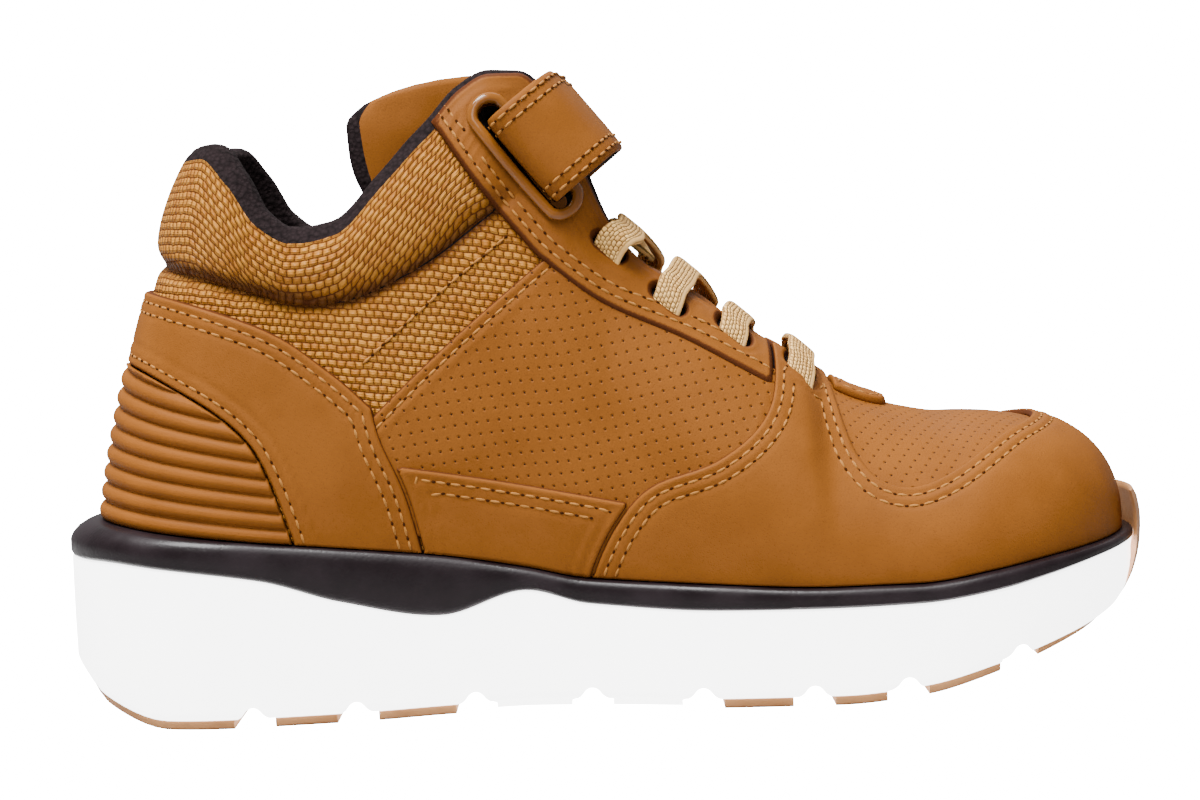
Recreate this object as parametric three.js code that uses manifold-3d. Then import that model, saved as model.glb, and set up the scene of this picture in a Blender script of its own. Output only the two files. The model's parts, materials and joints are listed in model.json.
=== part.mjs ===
// A child's mid-cut winter boot for the left foot: a hollow upper built on one last surface, with raised
// overlays, a padded collar, a tongue, elastic lace bars and a hook-and-loop strap that turns back through
// an oval grommet, on a foam midsole with a dark rand and separate rubber tread pads.
// Millimetres. +X points to the toe, -Y is the inner (medial) side, +Z is up, and the floor is z = 0.
import * as THREE from "three";
import { mergeVertices } from "three/addons/utils/BufferGeometryUtils.js";
import Module from "manifold-3d";

const wasm = await Module();
wasm.setup();

// Driving sizes
const LENGTH = 217; // heel of the sole to the front of the toe shield
const HEIGHT = 126; // floor to the top of the eyestay
const BALL_HALF = 40; // half the sole's width across the ball
const HEEL_AXIS = 0.23 * LENGTH; // the upright axis that the heel's sections turn about, from the heel
const TOE_AXIS = 0.82 * LENGTH; // the upright axis that the toe's sections turn about, from the heel
const WIDE = 1.6 * BALL_HALF; // half the width of the forms that cut through the whole shoe

// Walls, overlays and clearances
const GAP = 0.3; // between two pieces that touch
const WALL = 2.4; // the upper's wall: outer material, backing and lining
const COLLAR_PAD = 3.4; // what the collar's foam adds to the inside of the wall
const COLLAR_BULGE = 2.4; // how far the collar stands out above its seam
const COLLAR_SEAM_DEPTH = 1.3; // the stitched groove under the collar
const COLLAR_SEAM_WIDTH = 1.6; // from the groove's middle to where it has nearly gone
const COLLAR_PARTING = { front: 0.4, under: 0.24 }; // between the collar and the upper
const PADDING_STARTS = 5; // the padding swells from this far under the collar's seam
const PADDING_FULL = 7; // and is full this far above it
const WING_PAD = 1.6; // what the lining adds behind the top of the eyestay
const OVERLAY = 1.3; // thickness of a sewn-on panel
const RIB_BASE = 0.7; // the moulded heel piece between its ribs
const RIB_HEIGHT = 1.1;
const RIB_PITCH = 3.8;
const UPPER_INSET = 3.4; // the upper stands this far inside the sole's edge
const HEEL_SETBACK = 8; // the upper's back seam, from the rear of the sole
const TOE_SETBACK = 5.8; // the upper's toe, from the front of the shield

// Sole
const PAD_THICKNESS = 1.8; // rubber tread pads
const PAD_INSET = 2.2;
const PAD_TAPER = 0.5; // the pads' faces are this much smaller than their backs, all round
const MIDSOLE_EDGE = 1.2; // how far the foam's lower edge is rounded in
const MIDSOLE_TUCK = 0.2; // the foam's upper edge, under the rand
const TOE_UNDERSIDE = 5; // height of the foam's rounding under the toe
const RAND_EDGE = 1; // how far the rand's edges are rounded in
const RAND_FOOT = 1.1; // height of the rounding at the rand's lower edge
const RAND_BROW = 0.5; // height of the rounding at its upper edge
const HEEL_LIP = 4; // how far the rand's lip behind the heel is rounded in at its top
const NOTCH_WIDTH = 8; // notches between the tread lugs
const NOTCH_HEIGHT = 2.6; // into the foam, above the pads
// A notch's bell shape, in shares of half its width and of its height.
const NOTCH_BELL = { waist: 0.15, foot: 0.62, flank: 0.42, crown: 0.25, shoulder: 0.6 };
const MIDFOOT_LIFT = 0.7; // bare foam lugs between heel and forefoot stop this far above the pads' line
const INSOLE_THICKNESS = 3;
const INSOLE_CLEARANCE = 0.9; // between the insole's edge and the wall
const SHIELD_THICKNESS = 1.2; // rubber shield over the toe
const SHIELD_TOP = 35.5;
const SHIELD_FOOT = 13;
const SHIELD_ROWS = [0, 0.13, 0.31, 0.53, 0.76, 0.93, 1]; // shares of the way from its foot to its top
const SHIELD_WRAP = 2.8; // how far back the shield reaches from the toe's face
const TOE_LEAN = 29; // how far back the toe's face starts, under the shield

// Fastening
const LACE_WIDTH = 6.4;
const LACE_THICKNESS = 1.5;
const LACE_ANGLE = (42 * Math.PI) / 180; // that a lace's width falls towards the toe
const LACE_STEPS = 10;
const LACE_SETTLE = { along: 0.2, down: 0.3, out: 0.6 }; // a lace's end in the mouth of its slot
const LACE_RISE = 1.2; // a lace leaves its slot this far above the slot's middle
const LACE_REST = { down: 0.3, out: 0.25 }; // where it turns over the throat's edge
const STRAP_WIDTH = 20.4;
const STRAP_THICKNESS = 2.2;
const STRAP_ANGLE = 52; // degrees that the strap's width falls towards the toe
const STRAP_DROP = 14.2; // from the strap's crest to the middle of its slot
const WING_HALF = 20; // from the middle of the shoe to the tops of the eyestay
const STRAP_STEPS = 32;
const SLOT_CLEARANCE = 0.9; // round the strap or a lace in its slot
const GROMMET_LENGTH = 29.4;
const GROMMET_WIDTH = 9.2;
const GROMMET_BAND = 2.2; // width of the ring's own band
const GROMMET_HEIGHT = 1.5;
const GROMMET_STEPS = 20;
const TONGUE_THICKNESS = 5;
const TONGUE_HALF = 14;
const TONGUE_WRAP = 29; // how far the tongue's top edges reach back round the ankle
const TONGUE_ARC = (80 * Math.PI) / 180; // how far each half of the tongue turns back
const TAB_LENGTH = 11; // stitched tab at the foot of the throat
const TAB_HALF = 9;
const TAB_SETBACK = 2.4; // from the foot of the throat

// Sections are numbered by where they stand: 0 is the back seam, 0 to 1 turns round the heel axis, 1 to 2
// runs straight from the heel axis to the toe axis, and 2 to 3 turns round the toe axis to the middle of
// the toe. Heights are shares of HEIGHT and half-widths are shares of BALL_HALF.
// A section is one curve from the rand to the edge of the upper, or to the ridge where the upper is closed.
const EDGE = [
  { at: 0.0, top: 0.886, half: 0.532 },
  { at: 0.5, top: 0.892, half: 0.565 },
  { at: 0.7, top: 0.847, half: 0.583 },
  { at: 0.85, top: 0.786, half: 0.588 },
  { at: 1.02, top: 0.757, half: 0.575 },
  { at: 1.07, top: 0.766, half: 0.57 },
  { at: 1.148, top: 0.835, half: 0.55 },
  { at: 1.227, top: 0.915, half: 0.525 },
  { at: 1.27, top: 0.96, half: 0.51 },
  { at: 1.315, top: 0.982, half: 0.5 },
  { at: 1.36, top: 0.981, half: 0.49 },
  { at: 1.395, top: 0.953, half: 0.48 },
  { at: 1.445, top: 0.845, half: 0.465 },
  { at: 1.48, top: 0.755, half: 0.44 },
  { at: 1.53, top: 0.68, half: 0.4 },
  { at: 1.617, top: 0.612, half: 0.35 },
  { at: 1.72, top: 0.54, half: 0.27 },
  { at: 1.765, top: 0.512, half: 0.19 },
  { at: 1.805, top: 0.484, half: 0.0 },
  { at: 1.86, top: 0.453, half: 0.0 },
  { at: 1.94, top: 0.425, half: 0.0 },
  { at: 2.0, top: 0.415, half: 0.0 },
  { at: 3.0, top: 0.415, half: 0.0 },
];
const THROAT_BASE = 1.805;

// How each section swells: at the foot outward and up, and below the edge outward and down. The upward and
// downward columns are shares of the section's height.
const SWELL = [
  { at: 0.0, belly: -0.1, rise: 0.37, shoulder: 0.13, drop: 0.25 },
  { at: 0.6, belly: 0.0, rise: 0.36, shoulder: 0.08, drop: 0.27 },
  { at: 1.0, belly: 0.04, rise: 0.35, shoulder: 0.035, drop: 0.3 },
  { at: 1.2, belly: 0.09, rise: 0.3, shoulder: 0.12, drop: 0.35 },
  { at: 1.33, belly: 0.1, rise: 0.3, shoulder: 0.11, drop: 0.3 },
  { at: 1.445, belly: 0.12, rise: 0.33, shoulder: 0.17, drop: 0.2 },
  { at: 1.53, belly: 0.12, rise: 0.4, shoulder: 0.3, drop: 0.1 },
  { at: 1.617, belly: 0.11, rise: 0.42, shoulder: 0.36, drop: 0.07 },
  { at: 1.72, belly: 0.1, rise: 0.43, shoulder: 0.43, drop: 0.04 },
  { at: 1.805, belly: 0.07, rise: 0.43, shoulder: 0.52, drop: 0.0 },
  { at: 2.0, belly: 0.05, rise: 0.44, shoulder: 0.62, drop: 0.0 },
  { at: 2.5, belly: 0.03, rise: 0.48, shoulder: 0.68, drop: 0.0 },
  { at: 3.0, belly: 0.02, rise: 0.5, shoulder: 0.72, drop: 0.0 },
];

// The stitched groove under the collar. Past the collar's front it only guides the rows of the surface.
const COLLAR_SEAM = [
  { at: 0.0, seam: 0.722 },
  { at: 0.5, seam: 0.696 },
  { at: 0.85, seam: 0.663 },
  { at: 1.02, seam: 0.645 },
  { at: 1.08, seam: 0.65 },
  { at: 1.2, seam: 0.7 },
  { at: 1.3, seam: 0.77 },
  { at: 1.37, seam: 0.8 },
  { at: 1.45, seam: 0.7 },
  { at: 1.53, seam: 0.55 },
  { at: 1.72, seam: 0.43 },
  { at: 2.0, seam: 0.36 },
  { at: 3.0, seam: 0.36 },
];
const COLLAR_FRONT = 1.37;
const COLLAR_FADE = 0.07; // the collar's bulge dies out over this stretch behind its front
const WING_ENDS = { from: 1.44, to: 1.54 }; // the eyestay's padding thins out over this stretch

// The sole's plan: half-widths on the inner and outer side, before the ends are rounded.
const PLAN = [
  { at: 0.0, inner: 0.76, outer: 0.76 },
  { at: 0.12, inner: 0.79, outer: 0.79 },
  { at: 0.25, inner: 0.77, outer: 0.8 },
  { at: 0.38, inner: 0.74, outer: 0.83 },
  { at: 0.5, inner: 0.79, outer: 0.9 },
  { at: 0.62, inner: 0.92, outer: 0.98 },
  { at: 0.72, inner: 0.98, outer: 1.01 },
  { at: 0.82, inner: 1.0, outer: 0.97 },
  { at: 0.92, inner: 0.96, outer: 0.86 },
  { at: 1.0, inner: 0.9, outer: 0.76 },
];
const HEEL_ROUND = 0.17; // shares of LENGTH over which the plan's ends are rounded
const TOE_ROUND = { inner: 0.2, outer: 0.27 };
const END_POWER = 2.25;

// The sole's side, along its length: underside, lower and upper edge of the dark rand.
const SOLE_SIDE = [
  { at: 0.0, under: 0.075, randLow: 0.262, randTop: 0.318 },
  { at: 0.04, under: 0.03, randLow: 0.262, randTop: 0.315 },
  { at: 0.1, under: 0.0, randLow: 0.252, randTop: 0.303 },
  { at: 0.19, under: 0.0, randLow: 0.228, randTop: 0.284 },
  { at: 0.26, under: 0.0, randLow: 0.19, randTop: 0.27 },
  { at: 0.35, under: 0.003, randLow: 0.16, randTop: 0.25 },
  { at: 0.425, under: 0.006, randLow: 0.192, randTop: 0.226 },
  { at: 0.48, under: 0.004, randLow: 0.168, randTop: 0.205 },
  { at: 0.59, under: 0.0, randLow: 0.152, randTop: 0.19 },
  { at: 0.7, under: 0.0, randLow: 0.15, randTop: 0.18 },
  { at: 0.77, under: 0.01, randLow: 0.152, randTop: 0.18 },
  { at: 0.84, under: 0.038, randLow: 0.166, randTop: 0.194 },
  { at: 0.89, under: 0.06, randLow: 0.182, randTop: 0.206 },
  { at: 0.95, under: 0.088, randLow: 0.2, randTop: 0.216 },
  { at: 1.0, under: 0.122, randLow: 0.208, randTop: 0.222 },
];
const NOTCHES = [0.178, 0.27, 0.376, 0.48, 0.578, 0.675, 0.757, 0.858];
const BARE_LUGS = [0.376, 0.578]; // foam reaches nearly to the floor between these two notches

// The toe's face, from the shield's front: how far the sole stands back at each height.
const TOE_FACE = [
  { at: 0.08, back: 0.317 },
  { at: 0.12, back: 0.157 },
  { at: 0.16, back: 0.067 },
  { at: 0.2, back: 0.027 },
  { at: 0.235, back: 0.017 },
  { at: 0.3, back: 0.052 },
];

// Smooth curve through one column of a table, level at both ends and never past its rows.
function curve(rows, column) {
  const x = rows.map((row) => row.at);
  const y = rows.map((row) => row[column]);
  const step = x.slice(1).map((end, i) => (y[i + 1] - y[i]) / (end - x[i]));
  const slope = x.map((_, i) => {
    if (i === 0 || i === x.length - 1 || step[i - 1] * step[i] <= 0) return 0;
    return (2 * step[i - 1] * step[i]) / (step[i - 1] + step[i]);
  });
  return (at) => {
    if (at <= x[0]) return y[0];
    if (at >= x[x.length - 1]) return y[y.length - 1];
    const i = x.findIndex((end) => end > at) - 1;
    const width = x[i + 1] - x[i];
    const u = (at - x[i]) / width;
    const rest = 1 - u;
    return (
      y[i] * (1 + 2 * u) * rest * rest +
      y[i + 1] * (3 - 2 * u) * u * u +
      width * (slope[i] * u * rest * rest - slope[i + 1] * u * u * rest)
    );
  };
}

const columns = (rows) =>
  Object.fromEntries(Object.keys(rows[0]).map((name) => [name, curve(rows, name)]));
const edge = columns(EDGE);
const swell = columns(SWELL);
const plan = columns(PLAN);
const soleSide = columns(SOLE_SIDE);
const collarSeam = curve(COLLAR_SEAM, "seam");
const toeFace = curve(TOE_FACE, "back");

const smooth = (low, high, value) => THREE.MathUtils.smoothstep(value, low, high);
const sideName = (side) => (side < 0 ? "inner" : "outer");
const soleZ = (x, line) => soleSide[line](x / LENGTH) * HEIGHT;

// Plan outline of a layer of the sole or of the upper's foot.
function roundEnd(share) {
  if (share <= 0) return 0;
  if (share >= 1) return 1;
  return (1 - (1 - share) ** END_POWER) ** (1 / END_POWER);
}

function halfWidth(x, side, ring) {
  const name = sideName(side);
  const full = plan[name](x / LENGTH) * BALL_HALF - ring.inset;
  const heel = roundEnd((x - ring.heel) / (HEEL_ROUND * LENGTH));
  const toe = roundEnd((ring.toe - x) / (TOE_ROUND[name] * LENGTH));
  return full * heel * toe;
}

// Where a section stands: its foot on the centre line, and the level direction it faces.
function stand(at, side) {
  if (at < 1) {
    const turn = (at * Math.PI) / 2;
    return { x: HEEL_AXIS, dx: -Math.cos(turn), dy: side * Math.sin(turn) };
  }
  if (at <= 2) return { x: HEEL_AXIS + (at - 1) * (TOE_AXIS - HEEL_AXIS), dx: 0, dy: side };
  const turn = ((3 - at) * Math.PI) / 2;
  return { x: TOE_AXIS, dx: Math.cos(turn), dy: side * Math.sin(turn) };
}

const stationOf = (x) => 1 + (x - HEEL_AXIS) / (TOE_AXIS - HEEL_AXIS);

// Halving search for the end of the stretch, from 0, in which a test holds.
function lastHeld(test, limit = 1) {
  if (test(limit)) return limit;
  let low = 0;
  let high = limit;
  for (let i = 0; i < 36; i++) {
    const middle = (low + high) / 2;
    if (test(middle)) low = middle;
    else high = middle;
  }
  return low;
}

// Distance from a section's foot to a plan outline.
function reach(at, side, ring) {
  const { x, dx, dy } = stand(at, side);
  return lastHeld((out) => Math.abs(dy * out) < halfWidth(x + dx * out, side, ring), LENGTH);
}

const place = (at, side, out, z) => {
  const { x, dx, dy } = stand(at, side);
  return new THREE.Vector3(x + dx * out, Math.abs(dy) < 1e-9 ? 0 : dy * out, z);
};

// A section of the last, as the four points of a cubic.
const FEATHER = { heel: HEEL_SETBACK, toe: LENGTH - TOE_SETBACK, inset: UPPER_INSET };
const known = new Map();

function section(at, side) {
  const key = at * 2 + side * 10;
  if (known.has(key)) return known.get(key);
  const out = reach(at, side, FEATHER);
  const { x, dx } = stand(at, side);
  const foot = [out, soleZ(x + dx * out, "randTop") + GAP];
  const end = [edge.half(at) * BALL_HALF, edge.top(at) * HEIGHT];
  const tall = end[1] - foot[1];
  const low = [foot[0] + swell.belly(at) * BALL_HALF, foot[1] + swell.rise(at) * tall];
  const high = [end[0] + swell.shoulder(at) * BALL_HALF, end[1] - swell.drop(at) * tall];
  known.set(key, [foot, low, high, end]);
  return known.get(key);
}

function cubic([a, b, c, d], t) {
  const r = 1 - t;
  const mix = (i) => a[i] * r ** 3 + 3 * b[i] * r * r * t + 3 * c[i] * r * t * t + d[i] * t ** 3;
  const way = (i) => (b[i] - a[i]) * r * r + 2 * (c[i] - b[i]) * r * t + (d[i] - c[i]) * t * t;
  return { out: mix(0), z: mix(1), wayOut: way(0), wayUp: way(1) };
}

const heightShare = (at, side, z) => lastHeld((t) => cubic(section(at, side), t).z < z);

// How padded the wall is: 1 on the collar and 0 elsewhere, and the same for the eyestay's top.
const collarFade = (at) => 1 - smooth(COLLAR_FRONT - COLLAR_FADE, COLLAR_FRONT, at);
const wingFade = (at) => (1 - collarFade(at)) * (1 - smooth(WING_ENDS.from, WING_ENDS.to, at));

function relief(at, z) {
  const seam = collarSeam(at) * HEIGHT;
  const top = edge.top(at) * HEIGHT;
  const groove = -COLLAR_SEAM_DEPTH * Math.exp(-(((z - seam) / COLLAR_SEAM_WIDTH) ** 2));
  const above = THREE.MathUtils.clamp((z - seam) / (top - seam), 0, 1);
  return collarFade(at) * (groove + COLLAR_BULGE * Math.sin(Math.PI * above ** 0.8) ** 0.6);
}

function wallInside(at, z) {
  const seam = collarSeam(at) * HEIGHT;
  const padded = smooth(seam - PADDING_STARTS, seam + PADDING_FULL, z);
  return WALL + padded * (COLLAR_PAD * collarFade(at) + WING_PAD * wingFade(at));
}

// Point of the last's surface, pushed out (or in, when negative) in the section's own plane.
function surfacePoint(at, side, t, push, bumps = true) {
  const { out, z, wayOut, wayUp } = cubic(section(at, side), t);
  const size = Math.hypot(wayOut, wayUp);
  const total = push + (bumps ? relief(at, z) : 0);
  if (t === 0) return { out: out + total, z };
  return { out: Math.max(0, out + (wayUp / size) * total), z: z - (wayOut / size) * total };
}

// The same surface looked up in the side view.
function onSide(x, z, side, push) {
  const at = stationOf(x);
  const point = surfacePoint(at, side, heightShare(at, side, z), push);
  return place(at, side, point.out, point.z);
}

// Turns triangles of points into a solid for joining and cutting.
function solidOf(geometry) {
  const bare = (geometry.index ? geometry.toNonIndexed() : geometry).clone();
  bare.deleteAttribute("normal");
  bare.deleteAttribute("uv");
  const merged = mergeVertices(bare, 1e-4);
  const corners = merged.index.array;
  const kept = [];
  for (let i = 0; i < corners.length; i += 3) {
    const [a, b, c] = [corners[i], corners[i + 1], corners[i + 2]];
    if (a !== b && b !== c && c !== a) kept.push(a, b, c);
  }
  return new wasm.Manifold(
    new wasm.Mesh({
      numProp: 3,
      vertProperties: new Float32Array(merged.attributes.position.array),
      triVerts: new Uint32Array(kept),
    }),
  );
}

const solidFrom = (points) => solidOf(new THREE.BufferGeometry().setFromPoints(points));

function geometryOf(solid) {
  const mesh = solid.getMesh();
  const points = new Float32Array(mesh.numVert * 3);
  for (let i = 0; i < mesh.numVert; i++) {
    points.set(mesh.vertProperties.subarray(i * mesh.numProp, i * mesh.numProp + 3), i * 3);
  }
  const geometry = new THREE.BufferGeometry();
  geometry.setAttribute("position", new THREE.BufferAttribute(points, 3));
  geometry.setIndex(new THREE.BufferAttribute(mesh.triVerts, 1));
  geometry.computeVertexNormals();
  return geometry;
}

// Closed rings of equal length joined into a skin. Closed: the last ring meets the first. Otherwise both
// ends get a flat lid.
function loft(rings, closed) {
  const points = [];
  const addQuad = (a, b, c, d) => points.push(a, b, c, a, c, d);
  rings.forEach((ring, k) => {
    if (!closed && k === rings.length - 1) return;
    const next = rings[(k + 1) % rings.length];
    ring.forEach((_, i) => {
      const j = (i + 1) % ring.length;
      addQuad(ring[i], next[i], next[j], ring[j]);
    });
  });
  if (!closed) {
    [rings[0], [...rings[rings.length - 1]].reverse()].forEach((ring) => {
      for (let i = 0, j = ring.length - 1; i < j - 1; i++, j--) {
        addQuad(ring[i], ring[i + 1], ring[j - 1], ring[j]);
      }
    });
  }
  return solidFrom(points);
}

// Sections all round the shoe: back seam, inner side, toe, outer side.
const HEEL_STEPS = 5;
const TOE_STEPS = 6;
const BODY_STATIONS = [
  ...[1, 1.06, 1.13, 1.2, 1.26, 1.31],
  ...[1.355, 1.395, 1.425, 1.452, 1.485],
  ...[1.53, 1.6, 1.67, 1.73, 1.775, THROAT_BASE, 1.89],
];
const STATIONS = [
  ...Array.from({ length: HEEL_STEPS }, (_, i) => i / HEEL_STEPS),
  ...BODY_STATIONS,
  ...Array.from({ length: TOE_STEPS + 1 }, (_, i) => 2 + i / TOE_STEPS),
];
const ROUND = [
  ...STATIONS.map((at) => ({ at, side: -1 })),
  ...STATIONS.slice(1, -1)
    .reverse()
    .map((at) => ({ at, side: 1 })),
];

// Rows of the surface, as shares of the way from the rand to the guide line, and from there to the edge.
const OUTER_ROWS = { low: [0, 0.3, 0.62, 0.92], high: [0, 0.14, 0.42, 0.75, 1] };
const INNER_ROWS = { low: [0, 0.5], high: [0, 0.5, 1] };
const RIM_STEPS = 2;

function rowShares(at, side, { low, high }) {
  const seam = heightShare(at, side, collarSeam(at) * HEIGHT);
  return [...low.map((row) => row * seam), ...high.map((row) => seam + row * (1 - seam))];
}

// A shell that follows the last between two distances from its surface, open at the bottom and at the edge.
// Each ring of the skin is one section: up the outside, over the rim and down the inside.
function shell(outside, inside, innerRows, innerBumps, outerRows = OUTER_ROWS) {
  const rings = ROUND.map(({ at, side }) => {
    const rows = (set) => (typeof set === "function" ? set(at, side) : rowShares(at, side, set));
    const outer = rows(outerRows).map((t) => surfacePoint(at, side, t, outside(at, side, t)));
    const inner = rows(innerRows).map((t) => surfacePoint(at, side, t, -inside(at, side, t), innerBumps));
    const top = outer[outer.length - 1];
    const under = inner[inner.length - 1];
    const middle = { out: (top.out + under.out) / 2, z: (top.z + under.z) / 2 };
    const half = { out: (top.out - under.out) / 2, z: (top.z - under.z) / 2 };
    const closed = at >= THROAT_BASE;
    const rim = Array.from({ length: RIM_STEPS }, (_, i) => {
      const turn = (Math.PI * (i + 1)) / (RIM_STEPS + 1);
      const lift = closed ? 0 : Math.sin(turn);
      return {
        out: closed ? 0 : Math.max(0, middle.out + half.out * Math.cos(turn) - half.z * lift),
        z: middle.z + half.z * Math.cos(turn) + half.out * lift,
      };
    });
    const ring = [...outer, ...rim, ...inner.reverse()].map(({ out, z }) => place(at, side, out, z));
    return { ring, closed, rimFrom: outer.length - 1, rimTo: outer.length + RIM_STEPS - 1 };
  });
  const points = [];
  rings.forEach(({ ring, closed, rimFrom, rimTo }, k) => {
    const next = rings[(k + 1) % rings.length];
    ring.forEach((_, i) => {
      const j = (i + 1) % ring.length;
      const [a, b, c, d] = [ring[i], next.ring[i], next.ring[j], ring[j]];
      if (closed && next.closed && i >= rimFrom && i <= rimTo) return;
      if (i < rimTo) points.push(a, b, c, a, c, d);
      else points.push(a, b, d, b, c, d);
    });
  });
  return solidFrom(points);
}

// A plan layer of the sole: rings from the bottom up, with lids that run across from side to side.
function layer(rings) {
  const rows = rings.map(({ inset = 0, heel = 0, toe = 0, z }) => {
    return ROUND.map(({ at, side }) => {
      const ring = { heel: heel + inset, toe: LENGTH - toe - inset, inset };
      const out = reach(at, side, ring);
      const point = place(at, side, out, 0);
      return point.setZ(typeof z === "function" ? z(point.x) : z);
    });
  });
  const points = [];
  const count = ROUND.length;
  const addQuad = (a, b, c, d) => points.push(a, b, c, a, c, d);
  rows.slice(1).forEach((upper, k) => {
    const lower = rows[k];
    for (let i = 0; i < count; i++) {
      const j = (i + 1) % count;
      addQuad(lower[i], lower[j], upper[j], upper[i]);
    }
  });
  const [bottom, top] = [rows[0], rows[rows.length - 1]];
  for (let i = 0; i < count / 2; i++) {
    const [j, far, farNext] = [i + 1, (count - i) % count, count - i - 1];
    addQuad(bottom[i], bottom[far], bottom[farNext], bottom[j]);
    addQuad(top[i], top[j], top[farNext], top[far]);
  }
  return solidFrom(points);
}

// A prism through the shoe from an outline drawn in the side view.
function sidePrism(shape, from = -WIDE, to = WIDE) {
  const options = { depth: to - from, bevelEnabled: false, curveSegments: 3 };
  const geometry = new THREE.ExtrudeGeometry(shape, options);
  geometry.rotateX(Math.PI / 2);
  geometry.translate(0, to, 0);
  return solidOf(geometry);
}

// An outline in shares of LENGTH and HEIGHT. Each list of points is one smooth stretch, and stretches meet
// at corners.
function outline(...stretches) {
  const shape = new THREE.Shape();
  stretches.forEach((stretch, i) => {
    const points = stretch.map(([x, z]) => new THREE.Vector2(x * LENGTH, z * HEIGHT));
    if (i === 0) shape.moveTo(points[0].x, points[0].y);
    else shape.lineTo(points[0].x, points[0].y);
    if (points.length > 2) shape.splineThru(points.slice(1));
    else if (points.length === 2) shape.lineTo(points[1].x, points[1].y);
  });
  return shape;
}

// Seams of the side view, in shares of LENGTH and HEIGHT. Pieces on both sides of a seam use the same list.
const EYESTAY_REAR = [
  [0.36, 0.95],
  [0.374, 0.915],
  [0.405, 0.83],
  [0.432, 0.765],
  [0.461, 0.7],
];
const EYESTAY_LOW = [
  [0.461, 0.7],
  [0.514, 0.627],
  [0.583, 0.563],
  [0.63, 0.512],
  [0.655, 0.484],
];
const COLLAR_LINE = [
  [0.02, 0.74],
  [0.12, 0.712],
  [0.188, 0.676],
  [0.248, 0.648],
  [0.294, 0.655],
  [0.358, 0.705],
  [0.412, 0.77],
  [0.47, 0.84],
];
const COUNTER_TOP = [
  [-0.05, 0.7],
  [0.095, 0.672],
  [0.2, 0.615],
  [0.262, 0.54],
  [0.298, 0.482],
];
const COUNTER_FRONT = [
  [0.298, 0.482],
  [0.305, 0.43],
  [0.325, 0.34],
  [0.342, 0.2],
];
const RIB_WINDOW = [
  [-0.05, 0.575],
  [0.06, 0.565],
  [0.128, 0.52],
  [0.18, 0.455],
  [0.206, 0.375],
  [0.232, 0.22],
];
const GUARD_REAR = [
  [0.48, 0.15],
  [0.487, 0.215],
  [0.51, 0.29],
  [0.542, 0.345],
  [0.6, 0.378],
  [0.642, 0.43],
  [0.658, 0.5],
  [0.66, 0.62],
];
const VAMP_SEAM = [
  [0.702, 0.62],
  [0.717, 0.42],
  [0.735, 0.345],
  [0.765, 0.318],
  [0.805, 0.332],
  [0.86, 0.38],
  [0.922, 0.415],
  [0.94, 0.5],
];
const MID_PANEL_TOP = [
  [0.25, 0.41],
  [0.31, 0.395],
  [0.42, 0.358],
  [0.56, 0.305],
];

const collarZone = sidePrism(
  outline(COLLAR_LINE, [
    [0.47, 1.2],
    [-0.1, 1.2],
    [-0.1, 0.74],
  ]),
);
const eyestayZone = sidePrism(
  outline(EYESTAY_REAR, EYESTAY_LOW.slice(1), [
    [0.66, 0.484],
    [0.665, 0.5],
    [0.665, 1.3],
    [0.36, 1.3],
  ]),
);
const counterZone = sidePrism(
  outline(COUNTER_TOP, COUNTER_FRONT.slice(1), [
    [0.342, 0.1],
    [-0.1, 0.1],
    [-0.1, 0.7],
  ]),
);
const windowZone = sidePrism(
  outline(RIB_WINDOW, [
    [0.232, 0.1],
    [-0.1, 0.1],
    [-0.1, 0.575],
  ]),
);
const guardZone = sidePrism(
  outline(GUARD_REAR, VAMP_SEAM, [
    [1.1, 0.5],
    [1.1, 0.1],
    [0.48, 0.1],
  ]),
);
const midPanelZone = sidePrism(
  outline(MID_PANEL_TOP, [
    [0.56, 0.1],
    [0.25, 0.1],
  ]),
);
const halfZone = (side) => {
  const block = new THREE.BoxGeometry(2 * LENGTH, WIDE, 2 * HEIGHT);
  return solidOf(block.translate(LENGTH / 2, (side * WIDE) / 2, HEIGHT));
};

// Upper and collar: one padded shell, parted at the seam under the collar and behind the eyestay's top.
const wallAt = (at, side, t) => wallInside(at, cubic(section(at, side), t).z);
const upperForm = shell(() => 0, wallAt, INNER_ROWS, false);
const collarCut = collarZone.subtract(eyestayZone);
const collar = upperForm.intersect(collarCut);
const upper = upperForm.subtract(collarCut.translate([COLLAR_PARTING.front, 0, -COLLAR_PARTING.under]));

// Overlays: cut from a thinner shell that lies on the upper.
const overlayForm = shell(() => GAP + OVERLAY, () => -GAP, OUTER_ROWS, true);
const eyestayForm = overlayForm.intersect(eyestayZone.subtract(guardZone.translate([-GAP, 0, 0])));
const counter = overlayForm.intersect(counterZone).subtract(windowZone);
const guard = overlayForm.intersect(guardZone);
const midPanelForm = overlayForm
  .intersect(midPanelZone.subtract(counterZone.translate([GAP, 0, 0])))
  .subtract(guardZone.translate([-GAP, 0, 0]));

// Heel ribs: rows that follow the rand and close up a little towards the front.
const RIB_COUNT = 9;
const RIB_ROWS = RIB_COUNT * 3;
const ribShares = (at, side) => {
  const foot = section(at, side)[0][1];
  const pitch = RIB_PITCH * (1 - 0.12 * Math.min(at, 1));
  const rows = Array.from({ length: RIB_ROWS }, (_, i) => {
    const up = foot + pitch * (Math.floor(i / 3) + [0, 0.3, 0.75][i % 3]);
    return i === 0 ? 0 : Math.min(heightShare(at, side, up), 0.6 + (0.4 * i) / RIB_ROWS);
  });
  return [...rows, 1];
};
const ribForm = shell(
  (at, side, t) => {
    const rows = ribShares(at, side);
    const third = rows.findIndex((row) => Math.abs(row - t) < 1e-9) % 3;
    return GAP + RIB_BASE + (third === 0 ? 0 : RIB_HEIGHT);
  },
  () => -GAP,
  OUTER_ROWS,
  true,
  ribShares,
);
const ribs = ribForm.intersect(windowZone.translate([-GAP, 0, -GAP]));

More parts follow.
